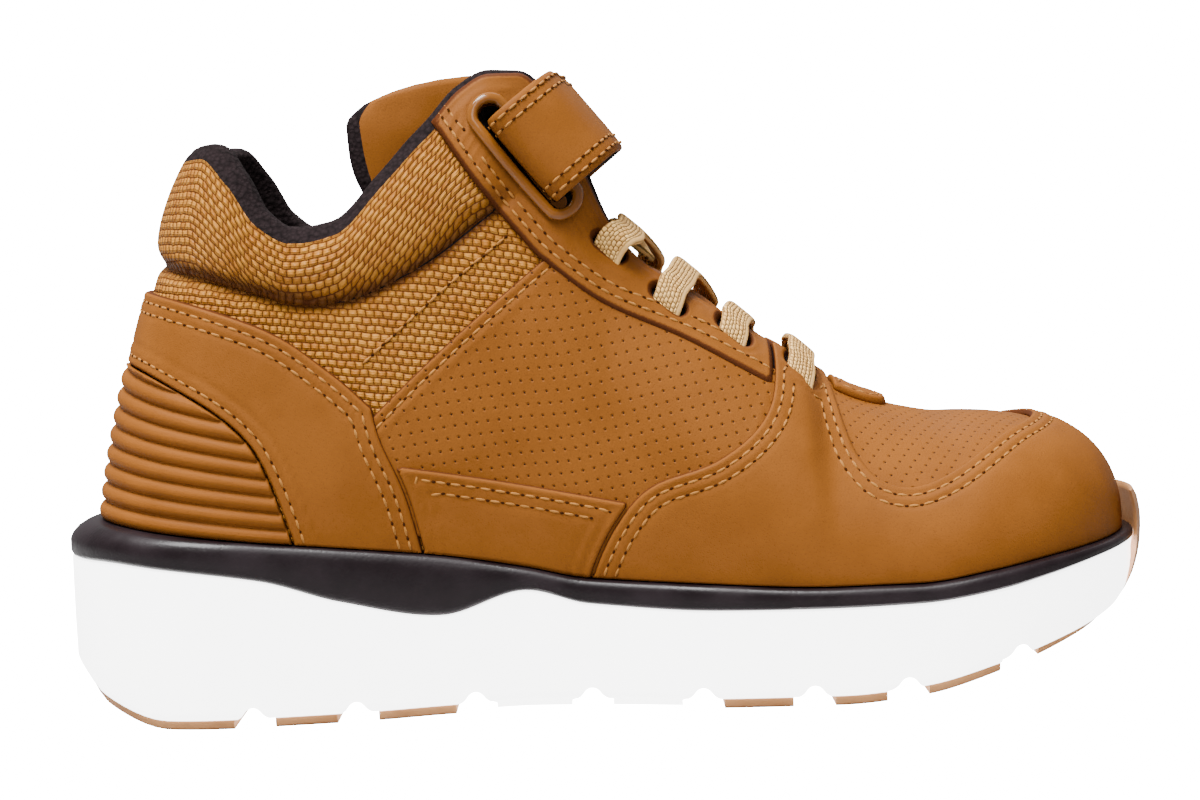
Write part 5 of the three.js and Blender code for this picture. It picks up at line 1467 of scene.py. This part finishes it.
turns = np.linspace(0, 2 * math.pi, 14, endpoint=False)
section = []
for a in turns:
    grow = -GROMMET_BAND / 2 - math.cos(a) * GROMMET_BAND / 2
    section.append((grow, ring_foot + GROMMET_HEIGHT * (0.42 + 0.58 * math.sin(a))))
rings = oval_sweep(slot_centre[[0, 2]], STRAP_TURN, GROMMET_LENGTH, GROMMET_WIDTH, -1, 72, section)
count, size = rings.shape[:2]
faces = []
for k in range(count):
    for i in range(size):
        j, m = (i + 1) % size, (k + 1) % count
        faces.append([k * size + i, m * size + i, m * size + j, k * size + j])
ring_points = rings.reshape(-1, 3)
grommet = piece("grommet_ring", ring_points, faces, [ring_material], uv=ring_points[:, [0, 2]])
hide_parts("grommet")
print("grommet:", len(faces), "faces round an oval of", GROMMET_LENGTH, "mm")


# %% [markdown]
# The tongue is a padded sheet: a net of points in front and the same behind, joined round its brim. It rises
# from the vamp, and its upper part wraps back round the ankle. Leather covers its front and mesh lines it.

# %% Tongue
TONGUE_THICKNESS, TONGUE_HALF, TONGUE_WRAP = 5.0, 14.0, 29.0
# along, x, z, half-width, wrap round the ankle, fall of the wrap
TONGUE = [
    (0.0, 0.765, 0.385, 0.9, 0.12, 1.2),
    (0.12, 0.725, 0.412, 0.95, 0.14, 1.15),
    (0.26, 0.683, 0.464, 0.93, 0.17, 1.05),
    (0.4, 0.64, 0.523, 1.0, 0.22, 1.0),
    (0.56, 0.572, 0.632, 0.97, 0.45, 0.7),
    (0.7, 0.501, 0.712, 0.95, 1.15, 0.3),
    (0.82, 0.463, 0.826, 0.96, 1.55, 0.03),
    (0.92, 0.437, 0.91, 1.0, 1.4, 0.0),
    (1.0, 0.41, 0.985, 0.98, 1.02, 0.2),
]
tongue_x, tongue_z, tongue_half, tongue_wrap, tongue_fall = [curve(TONGUE, i) for i in range(1, 6)]
TONGUE_SPREAD = math.radians(80)


def tongue_point(along, across, lift):
    turn = across * TONGUE_SPREAD
    side = np.sin(turn) / math.sin(TONGUE_SPREAD) * tongue_half(along) * TONGUE_HALF
    back = (1 - np.cos(turn)) * tongue_wrap(along) * TONGUE_WRAP
    curl = smooth(0.85, 1.0, along)
    fall = tongue_fall(along) * (1 - curl * (1 - across**2))
    ahead, behind = np.clip(along + 0.02, 0, 1), np.clip(along - 0.02, 0, 1)
    run_x = (tongue_x(ahead) - tongue_x(behind)) * LENGTH
    run_z = (tongue_z(ahead) - tongue_z(behind)) * HEIGHT
    way = np.stack([run_x, run_z], -1)
    way /= np.linalg.norm(way, axis=-1, keepdims=True)
    x = tongue_x(along) * LENGTH + way[..., 1] * np.cos(turn) * lift - back * np.cos(fall)
    z = tongue_z(along) * HEIGHT - way[..., 0] * np.cos(turn) * lift - back * np.sin(fall)
    return np.stack([x, side + np.sin(turn) * lift, z], -1)


ROWS, COLUMNS = 70, 44
along, across = np.meshgrid(np.linspace(0, 1, ROWS + 1), np.linspace(-1, 1, COLUMNS + 1), indexing="ij")
brim = np.minimum(np.minimum(along, 1 - along) * 100, (1 - np.abs(across)) * 26)
half = TONGUE_THICKNESS / 2 * (0.3 + 0.7 * np.sqrt(np.clip(1 - (1 - np.clip(brim / 3.5, 0, 1)) ** 2, 0, 1)))
half = half * (1 - 0.3 * across**4)
front = tongue_point(along, across, half)
rear = tongue_point(along, across, -half)
size = (ROWS + 1) * (COLUMNS + 1)
number = np.arange(size).reshape(ROWS + 1, COLUMNS + 1)
faces, which = [], []
for i in range(ROWS):
    for j in range(COLUMNS):
        quad = [number[i, j], number[i, j + 1], number[i + 1, j + 1], number[i + 1, j]]
        faces.append(quad)
        which.append(int(brim[i, j] < 1.0 or brim[i + 1, j + 1] < 1.0))
        faces.append([q + size for q in quad[::-1]])
        which.append(1)
loop = np.concatenate([number[0, :-1], number[:-1, -1], number[-1, :0:-1], number[:0:-1, 0]])
for a, b in zip(loop, np.roll(loop, -1)):
    faces.append([b, a, a + size, b + size])
    which.append(1)
uv = np.stack([across * 20, along * 100], -1).reshape(-1, 2)
points = np.concatenate([front.reshape(-1, 3), rear.reshape(-1, 3)])
tongue = piece("tongue_pad", points, faces, [leather_bare, lining], which, np.concatenate([uv, uv]))
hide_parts("tongue")
tongue.select_set(True)
bpy.context.view_layer.objects.active = tongue
bpy.ops.object.mode_set(mode="EDIT")
bpy.ops.mesh.select_all(action="SELECT")
bpy.ops.mesh.normals_make_consistent(inside=False)
bpy.ops.object.mode_set(mode="OBJECT")
tongue.select_set(False)
print("tongue:", len(tongue.data.polygons), "faces")

# %% [markdown]
# The sole is built in plan layers, from the bottom up: rubber pads, foam, the dark rand and the insole. Each
# layer is one outline of the foot at a height, and rounded edges are layers a little further in.

# %% Plan layers
PAD_THICKNESS, PAD_INSET, MIDSOLE_EDGE, FOAM_ROUND, RAND_EDGE, HEEL_LIP = 1.8, 2.2, 1.2, 1.8, 1.0, 4.0
SAW_LOW, SAW_HIGH = -5, 60
NOTCH_WIDTH, NOTCH_HEIGHT, MIDFOOT_LIFT = 8.0, 2.6, 0.7
INSOLE_THICKNESS, INSOLE_CLEARANCE = 3.0, 0.9
SHIELD_THICKNESS, SHIELD_TOP, SHIELD_FOOT, TOE_LEAN, SHIELD_WRAP = 1.2, 35.5, 13.0, 29.0, 2.8
NOTCHES = [0.178, 0.27, 0.376, 0.48, 0.578, 0.675, 0.757, 0.858]
BARE_LUGS = [0.376, 0.578]
TOE_FACE = [
    (0.08, 0.317),
    (0.12, 0.157),
    (0.16, 0.067),
    (0.2, 0.027),
    (0.235, 0.017),
    (0.3, 0.052),
]
toe_face = curve(TOE_FACE, 1)
sole_at = np.concatenate([np.arange(26) / 26, 1 + np.arange(100) / 100, 2 + np.arange(31) / 30])
SOLE_AT = np.concatenate([sole_at, sole_at[-2:0:-1]])
SOLE_SIDE_OF = np.concatenate([np.full(len(sole_at), -1), np.full(len(sole_at) - 2, 1)])


def sole_z(x, line):
    return line(x / LENGTH) * HEIGHT


def face_back(z):
    return float(toe_face(np.array(z / HEIGHT))) * TOE_LEAN


def behind_shield(z):
    return face_back(z) + SHIELD_THICKNESS + GAP


def layers(name, rings, materials, which_row=None):
    """A closed body from plan outlines (inset, heel, toe, height), with lids across from side to side."""
    rows = []
    for inset, heel, toe, height in rings:
        out = reach(SOLE_AT, SOLE_SIDE_OF, heel + inset, LENGTH - toe - inset, inset)
        x, dx, dy = stand(SOLE_AT, SOLE_SIDE_OF)
        px = x + dx * out
        z = height(px) if callable(height) else np.full(len(px), float(height))
        rows.append(np.stack([px, dy * out, z], -1))
    count = len(SOLE_AT)
    faces, which = [], []
    for k in range(len(rows) - 1):
        for i in range(count):
            j = (i + 1) % count
            faces.append([k * count + i, k * count + j, (k + 1) * count + j, (k + 1) * count + i])
            which.append(which_row[k] if which_row else 0)
    top = (len(rows) - 1) * count
    for i in range(count // 2):
        j, far, far_next = i + 1, (count - i) % count, count - i - 1
        faces.append([i, far, far_next, j])
        faces.append([top + i, top + j, top + far_next, top + far])
        which += [0, which_row[-1] if which_row else 0]
    faces = [list(dict.fromkeys(face)) for face in faces]
    kept = [(face, kind) for face, kind in zip(faces, which) if len(face) > 2]
    points = np.concatenate(rows)
    made = piece(name, points, [k[0] for k in kept], materials, [k[1] for k in kept], points[:, :2])
    made.select_set(True)
    bpy.context.view_layer.objects.active = made
    bpy.ops.object.mode_set(mode="EDIT")
    bpy.ops.mesh.select_all(action="SELECT")
    bpy.ops.mesh.remove_doubles(threshold=0.00001)
    bpy.ops.mesh.normals_make_consistent(inside=False)
    bpy.ops.object.mode_set(mode="OBJECT")
    bpy.ops.object.shade_smooth_by_angle(angle=math.radians(38))
    made.select_set(False)
    return made


def apply_cut(thing, other, operation="DIFFERENCE"):
    """Cuts thing by another mesh, which is then removed."""
    bpy.ops.object.select_all(action="DESELECT")
    bpy.context.view_layer.objects.active = thing
    thing.select_set(True)
    change = thing.modifiers.new("cut", "BOOLEAN")
    change.operation = operation
    change.object = other
    change.solver = "EXACT"
    bpy.ops.object.modifier_apply(modifier="cut")
    thing.select_set(False)
    bpy.data.objects.remove(other)


def prism(shape, low=-64.0, high=64.0):
    """A bar across the boot from an outline of the side view."""
    points = [(x, y, z) for y in (low, high) for x, z in shape]
    count = len(shape)
    faces = [list(range(count)), list(range(2 * count - 1, count - 1, -1))]
    faces += [[i, i + count, (i + 1) % count + count, (i + 1) % count] for i in range(count)]
    mesh = bpy.data.meshes.new("bar")
    mesh.from_pydata(to_row(points).tolist(), [], faces)
    thing = bpy.data.objects.new("bar", mesh)
    bpy.context.collection.objects.link(thing)
    thing.select_set(True)
    bpy.context.view_layer.objects.active = thing
    bpy.ops.object.mode_set(mode="EDIT")
    bpy.ops.mesh.select_all(action="SELECT")
    bpy.ops.mesh.normals_make_consistent(inside=False)
    bpy.ops.object.mode_set(mode="OBJECT")
    thing.select_set(False)
    return thing


def slice_of(start, end):
    """A block across the boot between two places along it."""
    return prism([(start, SAW_LOW), (end, SAW_LOW), (end, SAW_HIGH), (start, SAW_HIGH)])


def pad_top(x):
    return sole_z(x, under) + PAD_THICKNESS


def foam_bottom(x):
    return pad_top(x) + GAP


def foam_top(x):
    return sole_z(x, rand_low) - GAP


def foam_row(share):
    return lambda x: foam_bottom(x) + (foam_top(x) - foam_bottom(x)) * share


def foam_round(turn):
    return lambda x: foam_bottom(x) + FOAM_ROUND * (1 - math.cos(turn))


foam_here = [round(float(line(0.72 * LENGTH)), 1) for line in (foam_bottom, foam_top)]
print("foam at the ball, from and to:", foam_here)


# %% [markdown]
# The foam carries everything. Its lower edge is rounded, two bare lugs stand down under the arch, and
# bell-shaped notches part the tread pads from each other. The dark rand sits on it as a second ring of
# layers, with a lip behind the heel.

# %% Foam midsole
under_toe = float(sole_z(np.array(LENGTH), under))
rand_toe = float(sole_z(np.array(LENGTH), rand_low))
foam_rings = [(MIDSOLE_EDGE, MIDSOLE_EDGE, behind_shield(under_toe + FOAM_ROUND), foam_bottom)]
for turn in (20, 45, 70, 90):
    r = math.radians(turn)
    inset = MIDSOLE_EDGE * (1 - math.sin(r))
    toe = behind_shield(under_toe + FOAM_ROUND + turn / 28)
    foam_rings.append((inset, inset, toe, foam_round(r)))
foam_rings.append((0.0, 0.0, behind_shield(under_toe + 7), foam_row(0.45)))
foam_rings.append((0.1, 0.0, behind_shield(rand_toe - 3), foam_row(0.8)))
foam_rings.append((0.2, 0.0, behind_shield(rand_toe), foam_top))
midsole = layers("foam_midsole", foam_rings, [glowing_foam_material])
lugs = layers("lugs", [
    (PAD_INSET, 0, behind_shield(0), lambda x: sole_z(x, under) + MIDFOOT_LIFT),
    (MIDSOLE_EDGE, 0, behind_shield(0), lambda x: foam_bottom(x) + PAD_THICKNESS),
], [glowing_foam_material])
apply_cut(lugs, slice_of(BARE_LUGS[0] * LENGTH, BARE_LUGS[1] * LENGTH), "INTERSECT")
apply_cut(midsole, lugs, "UNION")


def bezier(a, b, c, steps=6):
    t = (np.arange(1, steps + 1) / steps)[:, None]
    a, b, c = np.array(a), np.array(b), np.array(c)
    return (a * (1 - t) ** 2 + 2 * b * t * (1 - t) + c * t**2).tolist()


def cubic_line(a, b, c, d, steps=16):
    t = (np.arange(1, steps + 1) / steps)[:, None]
    a, b, c, d = np.array(a), np.array(b), np.array(c), np.array(d)
    return (a * (1 - t) ** 3 + 3 * b * t * (1 - t) ** 2 + 3 * c * t**2 * (1 - t) + d * t**3).tolist()


# across in shares of half the notch, and up in shares of its height
NOTCH_BELL = [
    (1, 0), (0.62, 0.15), (0.42, 0.6), (0.25, 1), (0, 1), (-0.25, 1), (-0.42, 0.6), (-0.62, 0.15), (-1, 0),
]
for share in NOTCHES:
    x, floor_z, half = share * LENGTH, float(sole_z(np.array(share * LENGTH), under)), NOTCH_WIDTH / 2
    bell = [[x + half * side, floor_z + PAD_THICKNESS + NOTCH_HEIGHT * up] for side, up in NOTCH_BELL]
    shape = [[x - half, floor_z - NOTCH_HEIGHT], [x + half, floor_z - NOTCH_HEIGHT], bell[0]]
    for i in (0, 2, 4, 6):
        shape += bezier(*bell[i:i + 3])
    apply_cut(midsole, prism(shape))
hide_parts("midsole")
print("midsole:", len(midsole.data.polygons), "faces")

# %% Rand
rand_end = float(sole_z(np.array(LENGTH), rand_top))
rand_rings = []
# share of the rand's height, inset of its edge, length of the lip behind the heel
RAND_RINGS = [
    (0.0, 0.9, 0.0), (0.05, 0.35, 0.0), (0.16, 0.0, 0.0), (0.45, 0.0, 0.0), (0.62, 0.05, 0.12),
    (0.78, 0.2, 0.35), (0.9, 0.5, 0.62), (0.97, 0.95, 0.82), (1.0, 1.5, 1.0),
]


def rand_row(share):
    return lambda x: sole_z(x, rand_low) * (1 - share) + sole_z(x, rand_top) * share


for share, inset, lip in RAND_RINGS:
    toe = behind_shield(rand_toe + (rand_end - rand_toe) * share)
    rand_rings.append((inset * RAND_EDGE, lip * HEEL_LIP, toe, rand_row(share)))
rand = layers("dark_rand", rand_rings, [rand_material])
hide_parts("rand")
print("rand:", len(rand.data.polygons), "faces")

# %% Tread pads, insole and toe shield
pad_ends = [0.0, *NOTCHES, 1.0]
numbers = 0
for left, right in zip(pad_ends[:-1], pad_ends[1:]):
    if left >= BARE_LUGS[0] and right <= BARE_LUGS[1]:
        continue
    numbers += 1
    pad = layers("tread_rubber_%d" % numbers, [
        (PAD_INSET + 0.7, 0, behind_shield(under_toe) + 1, lambda x: sole_z(x, under)),
        (PAD_INSET + 0.2, 0, behind_shield(under_toe) + 0.3, lambda x: sole_z(x, under) + 0.4),
        (PAD_INSET, 0, behind_shield(under_toe), pad_top),
    ], [rubber_material])
    x0 = SAW_LOW if left == 0 else left * LENGTH + NOTCH_WIDTH / 2
    x1 = LENGTH + 5 if right == 1 else right * LENGTH - NOTCH_WIDTH / 2
    apply_cut(pad, slice_of(x0, x1), "INTERSECT")
    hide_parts("tread_pad_%d" % numbers)
insole_inset = UPPER_INSET + WALL + INSOLE_CLEARANCE
insole_heel, insole_toe = HEEL_SETBACK - UPPER_INSET, TOE_SETBACK - UPPER_INSET
insole = layers("insole_sheet", [
    (insole_inset, insole_heel, insole_toe, lambda x: sole_z(x, rand_top) + GAP),
    (insole_inset, insole_heel, insole_toe, lambda x: sole_z(x, rand_top) + GAP + INSOLE_THICKNESS - 0.6),
    (insole_inset + 0.7, insole_heel, insole_toe, lambda x: sole_z(x, rand_top) + GAP + INSOLE_THICKNESS),
], [lining])
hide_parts("insole")
heights = np.linspace(SHIELD_FOOT, SHIELD_TOP, 16)
shield_rings = []
for z in heights:
    edge_in = 0.5 * max(0, 1 - min(z - SHIELD_FOOT, SHIELD_TOP - z) / 1.6)
    shield_rings.append((0, 0, face_back(z) + edge_in, z))
shield = layers("toe_shield_rubber", shield_rings, [rubber_material])
hollow_rings = [(0, 0, face_back(z) + SHIELD_THICKNESS, z) for z in (0, *heights, HEIGHT)]
hollow = layers("hollow", hollow_rings, [rubber_material])
apply_cut(shield, hollow)
zone = [(LENGTH - face_back(z) - SHIELD_WRAP, z) for z in heights]
zone += [(LENGTH + SHIELD_WRAP, SHIELD_TOP), (LENGTH + SHIELD_WRAP, SHIELD_FOOT)]
apply_cut(shield, prism(zone), "INTERSECT")
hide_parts("toe_shield")
print("sole pieces done")

# %% [markdown]
# One last small panel lies at the foot of the throat. It is drawn in the plan, as half an oval, and cut out
# of the same net.

# %% Stitched tab
TAB_LENGTH, TAB_HALF, TAB_SETBACK, TAB_ABOVE, TAB_ROW = 11.0, 9.0, 2.4, 40, 1.7
tab_start = HEEL_AXIS + (THROAT_BASE - 1) * (TOE_AXIS - HEEL_AXIS) + TAB_SETBACK
tab_tip = tab_start + TAB_LENGTH
bend, shoulder_half = tab_start + TAB_LENGTH * 0.9, TAB_HALF * 0.8
tab_plan = [[tab_start, -TAB_HALF]]
tab_plan += cubic_line(tab_plan[0], [bend, -TAB_HALF], [tab_tip, -shoulder_half], [tab_tip, 0])
tab_plan += cubic_line(tab_plan[-1], [tab_tip, shoulder_half], [bend, TAB_HALF], [tab_start, TAB_HALF])
flat = {**NET, "p": NET["p"][:, [0, 2, 1]]}
tab_field = np.where(NET["p"][:, 2] > TAB_ABOVE, within(np.array(tab_plan), flat), -5)
data, tris, top = panel(
    "throat_tab", "vamp_tab", tab_field, uv_top, OVERLAY, (TAB_ROW,), 0.7, materials=[leather_bare] * 3,
)
stitch_rows("tab_stitching", row_at(data, tris, top, TAB_ROW))

# %% [markdown]
# The collar and the tongue are padded. A copy of each is remade in even cells and swells for twenty steps of
# a cloth simulation, like a filled cushion. The piece follows its copy by less than a millimetre, and less
# still beside its neighbours, so its seams, its weave and its place are kept.

# %% Padding
CLOTH_STEPS, CLOTH_PRESSURE, SWELL_LIMIT, ROOM = 20, 4.0, 0.8, (0.6, 5.0)


def plump(thing, neighbours, cell_mm, pressure, most_mm):
    """Moves the points of a piece as its simulated copy swells, up to a limit."""
    copy = bpy.data.objects.new("pad_copy", thing.data.copy())
    bpy.context.collection.objects.link(copy)
    bpy.ops.object.select_all(action="DESELECT")
    copy.select_set(True)
    bpy.context.view_layer.objects.active = copy
    cells = copy.modifiers.new("cells", "REMESH")
    cells.mode = "VOXEL"
    cells.voxel_size = cell_mm * MM
    bpy.ops.object.modifier_apply(modifier="cells")
    rest = np.array([v.co[:] for v in copy.data.vertices])
    cloth = copy.modifiers.new("cloth", "CLOTH")
    cloth.settings.use_pressure = True
    cloth.settings.uniform_pressure_force = pressure
    cloth.settings.effector_weights.gravity = 0
    cloth.collision_settings.use_collision = False
    scene = bpy.context.scene
    for frame_number in range(1, CLOTH_STEPS + 1):
        scene.frame_set(frame_number)
    bpy.ops.object.modifier_apply(modifier="cloth")
    moved = np.array([v.co[:] for v in copy.data.vertices]) - rest
    scene.frame_set(1)
    bpy.data.objects.remove(copy)
    long = np.linalg.norm(moved, axis=1)
    moved *= (np.minimum(long, most_mm * MM) / np.maximum(long, TINY))[:, None]
    tree = kdtree.KDTree(len(rest))
    for i, point in enumerate(rest):
        tree.insert(point, i)
    tree.balance()
    others = kdtree.KDTree(sum(len(other.data.vertices) for other in neighbours))
    for other in neighbours:
        for vertex in other.data.vertices:
            others.insert(vertex.co, vertex.index)
    others.balance()
    steps = []
    for vertex in thing.data.vertices:
        found = tree.find_n(vertex.co, 4)
        weights = np.array([1 / (gap + 1e-5) for _, _, gap in found])
        step = (moved[[i for _, i, _ in found]] * weights[:, None]).sum(0) / weights.sum()
        room = others.find(vertex.co)[2] / MM
        step = step * float(smooth(*ROOM, np.array(room)))
        steps.append(np.linalg.norm(step))
        vertex.co += Vector(step)
    thing.data.update()
    print(thing.name, "swells by up to", round(max(steps) / MM, 2), "mm, cells:", len(rest))


everything = bpy.data.objects
pads = [
    (collar, ["upper_shell", "eyestay_inner_panel", "eyestay_outer_panel", "tongue_pad"], 2.4),
    (tongue, ["upper_shell", "collar_pad", "eyestay_inner_panel", "eyestay_outer_panel", "strap_band"], 2.0),
]
for thing, names, cell_mm in pads:
    plump(thing, [everything[name] for name in names], cell_mm, CLOTH_PRESSURE, SWELL_LIMIT)

# %% [markdown]
# The photograph was taken from about half a metre, a little above the boot, on a white sweep.

# %% Camera
view = bpy.data.cameras.new("camera")
camera = bpy.data.objects.new("camera", view)
bpy.context.collection.objects.link(camera)
bpy.context.scene.camera = camera
view.lens = 73.9
target = Vector((0.0003, -0.0003, 0.058))
camera.location = Vector((0.0003, -0.5003, 0.095))
look = (target - camera.location).to_track_quat("-Z", "Y").to_matrix()
camera.rotation_euler = (look @ Matrix.Rotation(math.radians(-3.0), 3, "Z")).to_euler()
print("camera:", camera.location[:], "lens", view.lens)

# %% [markdown]
# The light is soft: a large lamp above the boot, a gentle one beside the camera and one behind. The floor
# and the sky look white to the camera, and give the boot only a little light themselves.

# %% Floor and light
WHITE_SWEEP, SKY_LIGHT = 24.0, 0.42
bpy.ops.mesh.primitive_plane_add(size=6, location=(0, 0, 0))
floor = bpy.context.object
floor.name = "floor"
paper, tree, shader, uv, spot = start("Pale floor", 0.7)
shader.inputs["Base Color"].default_value = (0.34, 0.34, 0.34, 1)
shader.inputs["Emission Color"].default_value = (1, 1, 1, 1)
seen = put(tree, "ShaderNodeLightPath").outputs["Is Camera Ray"]
tree.links.new(calc(tree, "MULTIPLY", seen, WHITE_SWEEP), shader.inputs["Emission Strength"])
floor.data.materials.append(paper)
world = bpy.data.worlds.new("studio")
bpy.context.scene.world = world
world.use_nodes = True
world.node_tree.nodes["Background"].inputs[0].default_value = (1, 1, 1, 1)
sky = world.node_tree
seen = put(sky, "ShaderNodeLightPath").outputs["Is Camera Ray"]
strength = calc(sky, "ADD", calc(sky, "MULTIPLY", seen, WHITE_SWEEP), SKY_LIGHT)
sky.links.new(strength, sky.nodes["Background"].inputs[1])


def lamp(name, place, size, power):
    light = bpy.data.lights.new(name, "AREA")
    light.size = size
    light.energy = power
    thing = bpy.data.objects.new(name, light)
    bpy.context.collection.objects.link(thing)
    thing.location = place
    thing.rotation_euler = (target - thing.location).to_track_quat("-Z", "Y").to_euler()
    return thing


lamp("key", (-0.35, -0.35, 1.25), 0.7, 60)
lamp("fill", (-0.1, -0.9, 1.0), 0.7, 8)
lamp("rim", (0.2, 0.9, 1.1), 1.0, 6)
